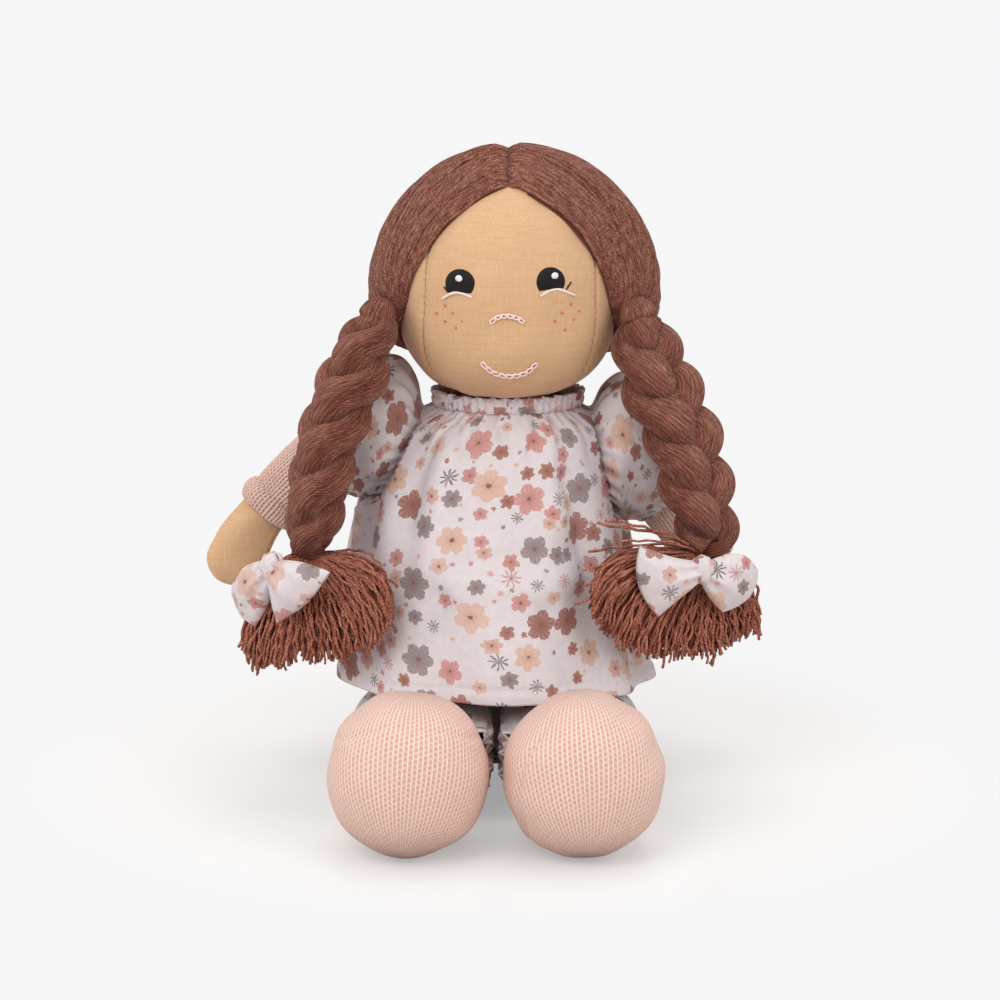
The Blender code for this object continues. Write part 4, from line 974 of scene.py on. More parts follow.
def make_ties(side, seed):
    """The hank of yarn through the elastic at the ear, and the thread wound round the braid's end."""
    way = unit(BRAID_MIDDLE[side] - BRAID_ROOT[side])
    reach = np.linspace(-9.4, 9.4, 40)
    line = BRAID_ROOT[side] + reach[:, None] * way
    size = 7.6 * np.sqrt(1 - (reach / 10.2) ** 2) * (1 - 0.16 * bump(reach, 1.1))
    hank = rope("hank_" + side, line, Y_WAY, size, size, HANK_YARNS, 0.45, seed)
    place(hank, HAIR, "braid_root_" + side, "hair_hank_" + side)
    level = unit(np.cross(way, Y_WAY))
    over = np.cross(level, way)
    root = BRAID_ROOT[side] - level * SIDES[side] * 0.9
    ties = (("hair_elastic_", root, (level, over, way), 5.6, 2.5, 0.5, ELASTIC, "braid_root_", "hair_tie_", "elastic"),
            ("end_thread_", BRAID_END[side], end_ways(side), 5.9, 5.5, 0.6, DARK_TIE, "braid_", "braid_end_tie_",
             "hair_yarn"))
    for name, centre, ways, radius, coils, cord, material, body, node, slot in ties:
        turn = np.linspace(0, coils * 2 * math.pi, int(coils * 40))
        climb = (turn / turn[-1] - 0.5)[:, None] * coils * cord * 1.8
        path = centre + radius * (np.cos(turn)[:, None] * ways[0] + np.sin(turn)[:, None] * ways[1]) + climb * ways[2]
        piece = place(tubes(name + side, path[None], cord, 8, 0.2), material, body + side, node + side)


for seed, side in ((300, "right"), (310, "left")):
    make_ties(side, seed)

# %% [markdown]
# ## The loose yarn ends
# Below the tie the yarns splay against the skirt. Each is a cubic Bezier curve: it leaves the tie sideways, then
# droops, and stops near a cut line that dips in the middle. The fan lies on a plane that follows the skirt.

# %% Tassels
CUT_LINES = {
    "right": [(-102.5, 61.0), (-99.0, 53.0), (-90.8, 52.7), (-79.1, 57.9), (-63.6, 59.9), (-50.0, 65.9),
              (-43.3, 75.9), (-42.9, 83.0)],
    "left": [(34.0, 88.0), (33.6, 80.0), (37.1, 74.5), (46.9, 64.5), (58.6, 60.0), (76.1, 58.0), (86.0, 60.0),
             (100.5, 66.6)]}
FAN = {"right": (-73.0, -52.5, 26), "left": (70.0, -50.0, 24)}
STRAYS = {"right": [(-40.5, 88.0), (-41.5, 71.0), (-104.0, 58.0)],
          "left": [(35.0, 113.0), (39.5, 114.5), (44.0, 107.0), (30.0, 96.0), (27.0, 83.0), (31.0, 90.0),
                   (33.0, 101.0)]}


def make_tassel(side, seed, layers=7, per_layer=64):
    """Layers of yarns from the tie to the cut line, with a few strays that end elsewhere."""
    rng = np.random.default_rng(seed)
    middle_x, middle_y, lean = FAN[side]
    slope = SIDES[side] * math.tan(math.radians(lean))
    count, steps = layers * per_layer, 31
    layer = np.repeat(np.arange(layers), per_layer)
    share = (np.tile(np.arange(per_layer), layers) + rng.uniform(-0.45, 0.45, count) + 0.5) / per_layer
    share = np.clip(share, 0, 1)
    line = np.array(CUT_LINES[side])
    run = run_along(line)
    end_x, end_z = (np.interp(share * run[-1], run, line[:, i]) for i in (0, 1))
    end_z = end_z + rng.normal(0, 1.5, count)
    end_z = end_z + 1.3 * wave_noise(share * 90, layer * 5.0, seed + 9, 14.0)
    stray = rng.choice(count, len(STRAYS[side]), replace=False)
    end_x[stray], end_z[stray] = np.array(STRAYS[side]).T
    inward = (layer / (layers - 1) - 0.5)
    end_y = middle_y + slope * (end_x - middle_x) + inward * 13.0 + rng.normal(0, 0.5, count)
    end = np.stack([end_x, end_y, end_z], 1)
    way = end_ways(side)[2]
    aside = (end_x - BRAID_END[side][0]) / 45.0
    start = BRAID_END[side] + way * 2.0 + np.outer(np.clip(aside, -1, 1) * 5.0, X_WAY)
    start = start + np.outer(inward * 7.0, Y_WAY)
    far = np.abs(aside)
    first = start + np.stack([aside * 17, -4 + inward * 6, -13 + 15 * smooth(far, 0.1, 0.8)], 1)
    first = first + rng.normal(0, 1.3, (count, 3))
    second = end + np.stack([-aside * 3.5, inward * 3 - 3.0, 15 + 4 * far], 1) + rng.normal(0, 1.2, (count, 3))
    first[stray] = start[stray] + (end[stray] - start[stray]) * 0.35 + np.array([0, -7.0, 7.0])
    second[stray] = start[stray] + (end[stray] - start[stray]) * 0.7 + np.array([0, -6.0, 3.0])
    t = np.linspace(0, 1, steps)[None, :, None]
    paths = ((1 - t) ** 3 * start[:, None] + 3 * (1 - t) ** 2 * t * first[:, None]
             + 3 * (1 - t) * t ** 2 * second[:, None] + t ** 3 * end[:, None])
    each = np.arange(count)[:, None]
    for bend, shift in ((np.array([1.0, 0.2, 0.3]), 0.0), (np.array([-0.2, 1.0, 0.3]), 400.0)):
        crimp = wave_noise(t[..., 0] * 44 + shift, each * 9.7, seed + 1, 7.5)
        paths = paths + (crimp * smooth(t[..., 0], 0.05, 0.4) * 0.6)[..., None] * bend
    radius = rng.uniform(0.45, 0.66, (count, 1)) * np.ones((1, steps))
    piece = tubes("loose_ends_" + side, paths, radius, 5, rng.uniform(0.1, 0.9, count))
    place(piece, ENDS, "braid_" + side, "tassel_" + side)
    return count


for seed, side in ((410, "right"), (420, "left")):
    print("tassel", side, make_tassel(side, seed), "yarns")

# %% [markdown]
# ## The bows
# A bow is two loops of folded cloth pinched by a knot. Each loop is worked out as a pillow between two rays from
# the knot to its outer corners, with pleats that start at the knot and die out.

# %% Bows
BOW_TURN, BOW_TILT = {"right": 40, "left": 18}, {"right": 8, "left": -6}
BOW_CENTRE = {"right": np.array([-88.5, -56.5, 94.5]), "left": np.array([76.0, -58.5, 93.5])}
BOW_LOOPS = {"right": [((-23.0, -12.5), (-10.0, -25.5), 3.5, 3.6), ((29.5, 2.0), (1.2, -22.5), 2.5, 1.4)],
             "left": [((-25.5, 11.5), (-18.0, -17.5), 4.5, -1.4), ((23.0, -2.0), (8.5, -17.5), 4.5, 5.5)]}


def bow_frame(side):
    """Level direction of a bow's plane, direction into the skirt, and the knot's own line."""
    turn, tilt = math.radians(BOW_TURN[side]), math.radians(BOW_TILT[side])
    back = np.array([-SIDES[side] * math.sin(turn), math.cos(turn), 0])
    along = np.array([math.cos(turn) * math.cos(tilt), SIDES[side] * math.sin(turn) * math.cos(tilt), math.sin(tilt)])
    return np.array([math.cos(turn), SIDES[side] * math.sin(turn), 0]), back, along


def bow_loop(side, upper, lower, bulge, belly):
    """Grid and UV of one loop in the bow's plane, from the knot out to its two corners, its upper edge bellied."""
    share, turn = np.meshgrid(np.linspace(0, 1, 60), turns(120), indexing="ij")
    q = np.cos(turn)
    upper, lower = np.array(upper), np.array(lower)
    out = unit((upper + lower) / 2)
    near = np.array([-out[1], out[0]]) * 3.2
    near = near if near @ (upper - lower) > 0 else -near
    top = near + (upper - near) * share[..., None]
    bottom = -near + (lower + near) * share[..., None]
    flat = (top + bottom) / 2 + (top - bottom) / 2 * q[..., None]
    flat = flat + out * (bulge * share ** 2 * (1 - q ** 2))[..., None]
    flat = flat + unit(near) * (belly * np.sin(np.pi * share) * np.where(q > 0, q, 0.2 * q))[..., None]
    thick = 1.9 + 4.6 * np.sin(np.pi * np.clip(share * 0.93 + 0.03, 0, 1)) ** 0.75
    thick = thick * np.sqrt(np.clip(1.02 - share ** 6, 0.02, 1))
    pleat = 1.15 * np.cos(q * 7.5 + 0.6) * np.exp(-share * 1.7) * smooth(share, 0.0, 0.1)
    pleat = pleat + 0.35 * wave_noise(flat[..., 0], flat[..., 1], 77, 16.0)
    lift = np.sin(turn) * thick * (1 - 0.15 * q ** 2) + np.sign(np.sin(turn)) * pleat * np.abs(np.sin(turn)) ** 0.5
    level, back, _ = bow_frame(side)
    grid = BOW_CENTRE[side] + flat[..., :1] * level + lift[..., None] * back + flat[..., 1:] * Z_WAY
    return grid, closed(flat)


def make_bow(side, shift):
    """Two loops and the knot of a bow; shift moves the print on the cloth."""
    _, back, along = bow_frame(side)
    for i, (upper, lower, bulge, belly) in enumerate(BOW_LOOPS[side]):
        grid, flat = bow_loop(side, upper, lower, bulge, belly)
        loop = skin_grid(f"bow_loop_{i + 1}_{side}", grid, flat + np.array(shift) + 40.0 * i, ends=(True, True))
        place(loop, PRINT, "braid_" + side, *(["bow_" + side] if i == 0 else []))
    reach, turn = np.linspace(-1, 1, 24), turns(64)
    full = np.sqrt(np.clip(1.06 - reach ** 2 * 0.75, 0, 1))
    centres = BOW_CENTRE[side] + reach[:, None] * 4.0 * along - back * 0.8
    grid = rings_round(centres, Z_WAY, back, 5.6 * full, 4.4 * full, turn, 2.4)
    grid = grid + (0.35 * np.cos(turn * 5 + 1.0)[None] * np.cos(reach * 4)[:, None])[..., None] * along
    grid = grid + unit(grid - centres[:, None]) * (0.28 * np.cos(reach[:, None] * 9 + np.sin(turn)[None]))[..., None]
    knot = skin_grid("bow_middle_" + side, grid, ring_uv(grid) + np.array(shift) - 20.0, ends=(True, True))
    place(knot, PRINT, "braid_" + side, "bow_knot_" + side)


make_bow("right", (12.0, 31.0))
make_bow("left", (143.0, 66.0))
print("bows: 2 loops and a knot each")

# %% [markdown]
# ## The dress
# The dress is one piece of cloth gathered on elastic at the neck and hanging free to the hem. Its rings widen by
# a table of shares from neck to hem. Many small gathers start at the elastic and die out; below them a few soft
# folds deepen towards the hem. Where a sleeve is set in, the cloth stops at the slanted plane of the seam.

# %% Shapes shared by the dress and its sleeves
NECK = np.array([1.5, 4.0])
ARMPIT = {"right": (51.0, 112.0), "left": (42.0, 106.0)}
SHOULDER = {"right": np.array([-41.3, 8.0, 136.0]), "left": np.array([44.3, 8.0, 135.0])}
DRESS_TOP, HEM_Z = 147.0, 44.0
DRESS_FALL = (0, 0.07, 0.17, 0.31, 0.53, 0.84, 1)
DRESS_RIGHT = (0.45, 0.68, 0.8, 0.88, 0.95, 0.985, 1)
DRESS_LEFT = (0.46, 0.64, 0.71, 0.76, 0.83, 0.92, 1)
DRESS_FRONT = (0.26, 0.37, 0.46, 0.56, 0.71, 0.9, 1)
DRESS_BACK = (0.56, 0.68, 0.77, 0.86, 0.92, 0.98, 1)

DRAPES = [((-30, 137), (-39, 107), 4, -1.2), ((-22, 133), (-30, 93), 6, 1.1), ((-15, 93), (29, 98), 4.5, -0.9),
          ((-18, 85), (25, 88), 6, 0.9), ((25, 123), (34, 93), 4, -1.3), ((15, 137), (20, 110), 5, 1.1),
          ((-25, 80), (-39, 48), 5, -1.0), ((15, 76), (29, 46), 5, -1.0), ((-21, 146), (-15, 134), 1.8, -1.1),
          ((-5, 146), (2, 136), 1.8, -1.1), ((14, 146), (10, 134), 1.8, -1.1)]


def drapes(x, z):
    """Soft hollows and rolls in the cloth's front: each is strongest on a short line and dies out beside it."""
    total = np.zeros_like(x)
    for (x0, z0), (x1, z1), width, height in DRAPES:
        run_x, run_z = x1 - x0, z1 - z0
        along = np.clip(((x - x0) * run_x + (z - z0) * run_z) / (run_x ** 2 + run_z ** 2), 0, 1)
        off = np.hypot(x - x0 - along * run_x, z - z0 - along * run_z)
        total += height * bump(off, width)
    return total


def seam_plane(side):
    """Middle, outward normal, downward way and half length of the seam between dress and sleeve."""
    out, low = ARMPIT[side]
    top = np.array([NECK[0] + SIDES[side] * 32.6, NECK[1], 148.0])
    bottom = np.array([NECK[0] + SIDES[side] * out, NECK[1], low])
    down = unit(bottom - top)
    return (top + bottom) / 2, np.array([-SIDES[side] * down[2], 0, SIDES[side] * down[0]]), down, \
        np.linalg.norm(bottom - top) / 2


def two_layers(grid, thickness):
    """Outside and inside of a cloth in one ring of rows, joined at both ends."""
    return np.concatenate([grid, (grid - grid_normals(grid) * thickness)[::-1]])


def cloth_piece(name, grid, thickness, uv):
    """A tube of cloth with an inside, both printed or knitted alike."""
    return skin_grid(name, two_layers(grid, thickness), np.concatenate([uv, uv[::-1]]), ring=True)


def dress_grid(rows=130, columns=380):
    """The dress's outside from neck to hem: gathers, folds, drapes and hem on its rings, cut at the sleeves."""
    fall = np.linspace(0, 1, rows)
    height = DRESS_TOP - (DRESS_TOP - HEM_Z) * fall
    right = -64.0 * curve(DRESS_FALL, DRESS_RIGHT, fall)
    left = 61.5 * curve(DRESS_FALL, DRESS_LEFT, fall)
    front = -75.0 * curve(DRESS_FALL, DRESS_FRONT, fall)
    back = 49.0 * curve(DRESS_FALL, DRESS_BACK, fall)
    centres = stack(NECK[0] - 4.2 * fall + (left + right) / 2, (front + back) / 2, height)
    turn = turns(columns) + math.pi / 2
    grid = rings_round(centres, X_WAY, Y_WAY, (left - right) / 2, (back - front) / 2, turn, 2.2)
    down = fall[:, None]
    uneven = uneven_turns(turn, 0.02, 50, 11, 18.0)
    size = np.abs(0.75 + 0.4 * wave_noise(np.cos(turn) * 50, np.sin(turn) * 50, 12, 40.0))
    gathers = 1.0 * size * np.cos(46 * uneven)[None] * np.exp(-down / 0.06)
    gathers = gathers + 0.55 * size * np.cos(23 * uneven + 0.8)[None] * bump(down, 0.12, 0.08)
    folds = 1.0 * down ** 0.8 * np.cos(9 * turn + 0.9 * np.sin(2 * turn))[None]
    soft = 1.5 * wave_noise(turn[None] * 60, height[:, None] * 0.35, 13, 42.0) * smooth(down, 0.05, 0.4)
    crease = 1.9 * drapes(grid[..., 0], grid[..., 2]) * smooth(-grid[..., 1], 0, 12)
    edge = (height - HEM_Z)[:, None]
    hem = -0.45 * bump(edge, 0.8, 5.2) + 0.3 * bump(edge, 2.2, 2.6)
    hem = hem + 0.22 * np.cos(95 * turn)[None] * bump(edge, 2.2, 5.2)
    outward = unit(grid - centres[:, None])
    grid = grid + outward * (gathers + folds + soft + crease + hem)[..., None]
    grid[..., 2] -= 2.6 * smooth(grid[..., 0], 25, 62) * down ** 2
    for side in SIDES:
        middle, normal, along, half = seam_plane(side)
        off, drop = (grid - middle) @ normal, (grid - middle) @ along
        allowed = np.maximum(drop - half, 0) * 0.75 + np.maximum(drop - half - 22, 0) * 2.0
        over = off - (allowed + 0.4 * np.cos(grid[..., 2] * 2.4) - 0.3)
        grid = grid - normal * (np.where(over > 0, over, 0) * (SIDES[side] * grid[..., 0] > 0))[..., None]
    return grid


# The print's length round the cloth shrinks with the rings towards the neck, smoothly and not below a share.
PRINT_ROUND, LEAST_SHRINK = 560.0, 0.62
grid = dress_grid()
fall_mm = fall_along(grid)
uv = stack(np.linspace(0, PRINT_ROUND, grid.shape[1] + 1), -fall_mm[:, None])
shrink = np.linalg.norm(np.diff(grid, axis=1), axis=2).sum(1) / PRINT_ROUND
shrink = np.polyval(np.polyfit(fall_mm, shrink, 3), fall_mm)
uv[..., 0] = PRINT_ROUND / 2 + (uv[..., 0] - PRINT_ROUND / 2) * np.maximum(shrink, LEAST_SHRINK)[:, None]
dress = cloth_piece("dress_cloth", grid, 1.0, uv)
place(dress, PRINT, "body", "dress")
print("dress:", len(dress.data.polygons), "faces, hem", round(float(shrink[-1] * PRINT_ROUND)), "mm round")


# %% Collar
def make_collar(rows=720, columns=22):
    """The casing over the elastic: an upright band, puckered by its gathers, with a small frill on top."""
    turn, round_ = np.meshgrid(turns(rows), turns(columns), indexing="ij")
    out = stack(np.cos(turn), np.sin(turn), 0)
    wave = np.cos(62 * turn + 1.4 * np.sin(5 * turn) + 0.8 * np.sin(3 * turn + 1))
    up = np.sin(round_)
    aside = 1.5 * np.cos(round_) + wave * (0.45 + 0.75 * smooth(up, 0.2, 1.0)) + 0.5 * smooth(up, 0.5, 1.0)
    rise = 3.3 * up + 0.35 * np.cos(31 * turn + 2 * np.sin(4 * turn)) * smooth(up, 0.0, 1.0)
    pinch = -0.5 * bump(up, 0.14, 0.35) * np.sign(np.cos(round_)) * np.abs(np.cos(round_)) ** 0.3
    centre = np.array([NECK[0], NECK[1], 149.8]) + out * np.array([28.6, 23.5, 0.0])
    grid = centre + out * (aside + pinch)[..., None] + rise[..., None] * Z_WAY
    uv = stack(np.linspace(0, 320, rows + 1)[:, None], np.linspace(0, 16, columns + 1))
    return skin_grid("neck_casing", grid, uv, ring=True)


collar = place(make_collar(), PRINT, "body", "dress_collar")

# %% [markdown]
# ## The puff sleeves
# Each sleeve starts from the slanted seam, swells most on top, and is drawn in by elastic round the arm. Its rings
# run from the seam beside the body to its band round the arm.

# %% Arm line
ARM_FROM_VERTICAL = {"right": (78, 18), "left": (44, 16)}
ARM_LENGTH, PUFF_END = 100.0, 36.0


def arm_line(side, run):
    """Centres along the arm and the direction across it: its slope changes evenly from shoulder to hand."""
    start, end = np.radians(ARM_FROM_VERTICAL[side])
    bend = (end - start) / ARM_LENGTH
    slope = start + bend * run
    sign = SIDES[side]
    out, up = sign * (np.cos(start) - np.cos(slope)) / bend, -(np.sin(slope) - np.sin(start)) / bend
    return SHOULDER[side] + stack(out, 0, up), stack(sign * np.cos(slope), 0, np.sin(slope))


ARM_AT = (0, 0.15, 0.35, 0.52, 0.62, 0.7, 0.82, 1)


def arm_sizes(run):
    """Half width and half thickness of the stuffed arm: upper arm, wrist and mitten hand."""
    share = np.maximum(run / ARM_LENGTH, 0)
    base = 11.2 + 1.6 * curve(ARM_AT, (0, 0.4, 0.3, 0, 0, 0, 0, 0), share)
    wrist = curve(ARM_AT, (0, 0, 0.1, 0.7, 1, 0.8, 0, 0), share)
    hand = curve(ARM_AT, (0, 0, 0, 0, 0, 0.2, 1, 1), share)
    past = np.clip((run - 89.0) / 11.0, 0, 0.9999)
    before = np.clip(-run / 11.2, 0, 0.99)
    round_ = np.sqrt(1 - past ** 2) * np.sqrt(1 - before ** 2)
    return (base - 2.0 * wrist) * round_, (base - 2.0 * wrist - 3.0 * hand) * round_


# %% Puff sleeves
def puff_grid(side, seed, rows=80, columns=208):
    """The sleeve's outside from the seam to the cuff, swelling most on top, and the middle of the cuff."""
    middle, normal, down, half = seam_plane(side)
    (end,), (end_across,) = arm_line(side, np.array([PUFF_END]))
    (arm_wide,), _ = arm_sizes(np.array([PUFF_END]))
    band = arm_wide + 3.4
    turn = turns(columns)
    seam = rings_round((middle - normal * 4.0)[None], down, Y_WAY, half, 19.5, turn)
    cuff = rings_round(end[None], -end_across, Y_WAY, band, band, turn)
    share = np.linspace(0, 1, rows)[:, None, None]
    grid = seam + (cuff - seam) * share
    away = unit(grid - grid.mean(axis=1, keepdims=True))
    top = ((1 - np.cos(turn)) / 2)[None] ** 2
    rise = curve((0, 0.1, 0.2, 0.32, 0.45, 0.6, 0.75, 0.88, 1), (0, 0.05, 0.5, 0.9, 1, 0.88, 0.6, 0.25, 0),
                 share[:, 0, 0])[:, None]
    at = share[..., 0]
    uneven = uneven_turns(turn, 0.05, 20, seed, 16.0)
    near, far = bump(at, 0.14, 0.2), bump(at, 0.14, 1.0)
    gathers = 0.85 * np.cos(26 * uneven) * near + 1.0 * np.cos(30 * uneven + 1.0) * far
    folds = 1.1 * np.cos(8 * uneven + 2.6 * at + seed) * np.sin(np.pi * np.clip(at, 0, 1)) ** 1.2
    lumps = 0.7 * wave_noise(turn[None] * 22, at * 45, seed + 3, 21.0) * np.sin(np.pi * at)
    tuck = -1.0 * bump(at, 0.018, 0.965)
    return grid + away * (1.0 + 23.0 * top * rise + gathers + folds + lumps + tuck - 1.0 * (1 - rise))[..., None], end


for side, seed in (("right", 5), ("left", 8)):
    grid, end = puff_grid(side, seed)
    uv = stack(np.linspace(0, 175.0, grid.shape[1] + 1), np.linspace(0, 75.0, len(grid))[:, None])
    sleeve = cloth_piece("puff_" + side, grid, 1.0, uv + np.array([210.0, 90.0 * (seed - 4)]))
    sleeve.data.materials.append(PRINT)
    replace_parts(sleeve, "puff_sleeve_" + side)
    middle = seam_plane(side)[0]
    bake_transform(sleeve)
print("two puff sleeves")

# %% [markdown]
# ## Knitting
# Stocking stitch is columns of V shapes, the wales. Stretched over stuffing, its legs draw together into pale upright
# lines, and between them the middle of each V opens to a small dark hole. In a cell one stitch wide the distance from
# its middle gives the lines, and a wave down the cloth, leaned by that distance, gives the holes. The paleness of the
# lines is painted highlight and the darkness of the holes painted shade, over the yarn's own colour.

# %% Knit material
def knit(name, base, hole_shade, light, wale, course):
    """Stocking stitch from UV in mm: wale is the stitch's width, course its height."""
    material, output = new_material(name)
    tree = material.node_tree
    flat = add(tree, "UVMap", uv_map="cloth").outputs[0]
    part = add(tree, "SeparateXYZ", {0: flat})
    fluff = flat_noise(tree, flat, 0.7, 3.0)
    across = math_chain(tree, part.outputs[0], ("DIVIDE", wale), ("FRACT", None), ("SUBTRACT", 0.5),
                        ("ABSOLUTE", None))
    line = math_chain(tree, across, ("SUBTRACT", 0.17), ("MULTIPLY", 4.5), ("MAXIMUM", 0.0), ("MINIMUM", 1.0))
    down = math_chain(tree, part.outputs[1], ("DIVIDE", course))
    wales = math_chain(tree, part.outputs[0], ("DIVIDE", wale), ("FLOOR", None))
    down = times_plus(tree, wales, 0.38, down)
    leaned = times_plus(tree, across, 1.1, down)
    leaned = times_plus(tree, fluff, 0.5, leaned)
    stitch = waves(tree, leaned, 1.0)
    hole_here = math_chain(tree, line, ("MULTIPLY", -0.8), ("ADD", 0.8),
                           ("MULTIPLY", math_chain(tree, stitch, ("POWER", 1.6))))
    height = add(tree, "Math", {0: line, 1: hole_here}, operation="SUBTRACT")
    height = times_plus(tree, fluff, 0.5, height)
    # Colour follows the stitch height: painted highlight on the raised lines, painted shade in the holes
    ramp = add(tree, "ValToRGB", {0: math_chain(tree, height, ("MULTIPLY", 0.4), ("ADD", 0.4))})
    ramp.color_ramp.elements[0].color, ramp.color_ramp.elements[0].position = linear(hole_shade), 0.12
    ramp.color_ramp.elements[1].color, ramp.color_ramp.elements[1].position = linear(light), 0.88
    ramp.color_ramp.elements.new(0.5).color = linear(base)
    ridged = times_plus(tree, stitch, -0.25, height)
    finish_cloth(tree, output, ramp, ridged, 0.00035, 0.95, 0.15, 0.8)
    return material


SOCK_WALES, SOCK_WALE = 106, 1.8
SLEEVE_WALES, SLEEVE_WALE = 49, 1.5
SOCK = knit("pale_pink_sock_knit", "#E7BBA8", "#D8A28C", "#EED5CC", SOCK_WALE, 2.0)
SLEEVE = knit("dusty_pink_sleeve_knit", "#D8B0A1", "#BC8D7C", "#E3C5B8", SLEEVE_WALE, 1.6)

# %% [markdown]
# ## Arms and knitted sleeves
# The stuffed arm ends in a mitten hand with a seam round its edge. The knitted sleeve is a tube over it with a
# cuff that rolls outwards, as stocking stitch does.

# %% Arms
def make_arm(side, seed):
    """The stuffed arm from its round shoulder end to the mitten hand, grooved along its edge seams."""
    run = np.concatenate([np.linspace(-10.9, 85, 110), 89 + 10.999 * np.sin(np.linspace(0, math.pi / 2, 50))])
    centres, across = arm_line(side, run)
    wide, thick = arm_sizes(run)
    turn = turns(120)
    grid = rings_round(centres, across, Y_WAY, wide, thick, turn, 2.15)
    away = unit(grid - centres[:, None] + 1e-9)
    edge = np.minimum(np.abs(np.sin(turn / 2)), np.abs(np.cos((turn - 0.5) / 2)))[None] * wide[:, None] * 2
    seam = -0.75 * bump(edge, 0.7) + 0.35 * bump(edge, 1.0, 1.5)
    lumps = 0.3 * wave_noise(turn[None] * 11, run[:, None], seed, 22.0)
    pucker = 0.16 * np.cos(run * 2 * math.pi / 2.6)[:, None] * bump(edge, 2.0)
    fade = smooth(run, -11, -4)[:, None] * np.clip(wide / 6.0, 0, 1)[:, None]
    grid = grid + away * ((seam + lumps + pucker) * fade)[..., None]
    arm = place(skin_grid("stuffed_arm_" + side, grid, ends=(True, True)), SKIN, "arm_" + side, "arm_" + side)


def make_knit_sleeve(side):
    """Outside, rolled cuff and inside of the sleeve in one loop of rows."""
    run = np.concatenate([np.linspace(12, 57, 60), np.linspace(57.3, 66, 28)])
    centres, across = arm_line(side, run)
    wide, thick = arm_sizes(run)
    roll = 1.9 * np.sin(np.clip((run - 57) / 9.0, 0, 1) * math.pi) ** 0.8
    turn = turns(4 * SLEEVE_WALES)
    rib = 0.16 * np.cos(turn * SLEEVE_WALES)[None] * np.ones((len(run), 1))
    dip = -0.5 * bump(run, 0.8, 57.2)
    grow = (1.9 + roll + dip)[:, None] + rib + 0.3 * wave_noise(turn[None] * 12, run[:, None], 31, 17.0)
    grid = rings_round(centres, across, Y_WAY, wide, thick, turn, 2.1)
    grid = grid + unit(grid - centres[:, None]) * grow[..., None]
    uv = stack(np.linspace(0, SLEEVE_WALES * SLEEVE_WALE, len(turn) + 1), run[:, None])
    piece = cloth_piece("knit_" + side, grid, 1.3, uv)
    place(piece, SLEEVE, "arm_" + side, "knit_sleeve_" + side)


for side, seed in (("right", 3), ("left", 6)):
    make_arm(side, seed)
    make_knit_sleeve(side)
print("arms and knitted sleeves")

# %% [markdown]
# ## Legs, socks and bloomers
# The doll sits with its legs straight ahead, so each foot is seen from its sole, as a round knitted ball. The
# bloomers are the same print as the dress: a seat that the doll sits on and two short legs with gathered ends.

# %% Legs and socks
HIP_Y, HIP_Z, SOCK_TOP = -28.0, 21.5, -88.0
FOOT_AT = (0, 0.14, 0.34, 0.47)
FOOT_WIDE = (0.62, 0.76, 0.965, 1)
FOOT_TOP = (0.66, 0.8, 0.975, 1)
FOOT_LOW = (0.05, 0.01, -0.01, -0.01)
FOOT_MIDDLE, TOE_Y, WIDEST = 30.5, -148.0, 0.47
HIP_RADIUS, THIGH_WIDE = 19.2, 23.5


def hip_x(side):
    """The middle of a leg, left to right."""
    return -3.2 + SIDES[side] * 32.4


def foot_grid(side, inset, share, turn):
    """Rings of the foot from the sock's top to the sole: past its widest ring it closes as a superellipse."""
    along = SOCK_TOP + share * (TOE_Y + inset - SOCK_TOP)
    ahead = np.clip((share - WIDEST) / (1 - WIDEST), 0, 1)
    close = (1 - ahead ** 2.35) ** (1 / 2.35)
    behind = np.minimum(share, WIDEST)
    wide = (29.9 * curve(FOOT_AT, FOOT_WIDE, behind) - inset) * close
    top = FOOT_MIDDLE + (60.8 * curve(FOOT_AT, FOOT_TOP, behind) - inset - FOOT_MIDDLE) * close
    low = FOOT_MIDDLE + (61.0 * curve(FOOT_AT, FOOT_LOW, behind) + inset - FOOT_MIDDLE) * close
    centres = stack(hip_x(side), along, (top + low) / 2)
    grid = rings_round(centres, X_WAY, Z_WAY, wide, (top - low) / 2, turn, 2.05)
    grid[..., 2] = np.maximum(grid[..., 2], inset)
    return grid


def thigh_grid(side, grow, along, turn, widen=0.0):
    """Rings of the thigh from its round hip end to the ankle."""
    radius, thigh = HIP_RADIUS + grow, THIGH_WIDE + grow
    behind = np.clip((along - HIP_Y) / radius, 0, 0.9999)
    share = np.clip((HIP_Y - along) / (HIP_Y - SOCK_TOP), 0, 1)
    ankle = 61.0 * (0.66 - 0.05) / 2 - 1.9 + grow
    ankle_wide = 30.2 * 0.6 - 1.9 + grow
    high = (radius + (ankle - radius) * share) * np.sqrt(1 - behind ** 2)
    wide = (thigh + (ankle_wide - thigh) * share) * np.sqrt(1 - behind ** 2)
    centres = stack(hip_x(side), along, HIP_Z)
    return rings_round(centres, X_WAY, Z_WAY, wide + widen, high + widen * 0.4,
                       turn, 2.1)


def make_leg(side):
    """The stuffed leg: thigh, ankle and the foot inside the sock."""
    turn = turns(96)
    hip = HIP_Y + HIP_RADIUS * np.cos(np.linspace(0.02, math.pi / 2, 24))
    thigh = thigh_grid(side, 0.0, np.concatenate([hip, np.linspace(HIP_Y - 1, -80, 40)]), turn)
    foot = foot_grid(side, 1.9, np.linspace(0.0, 0.99, 60), turn)
    leg = skin_grid("stuffed_leg_" + side, np.concatenate([thigh, foot]), ends=(True, True))
    place(leg, SKIN, "leg_" + side, "leg_" + side)


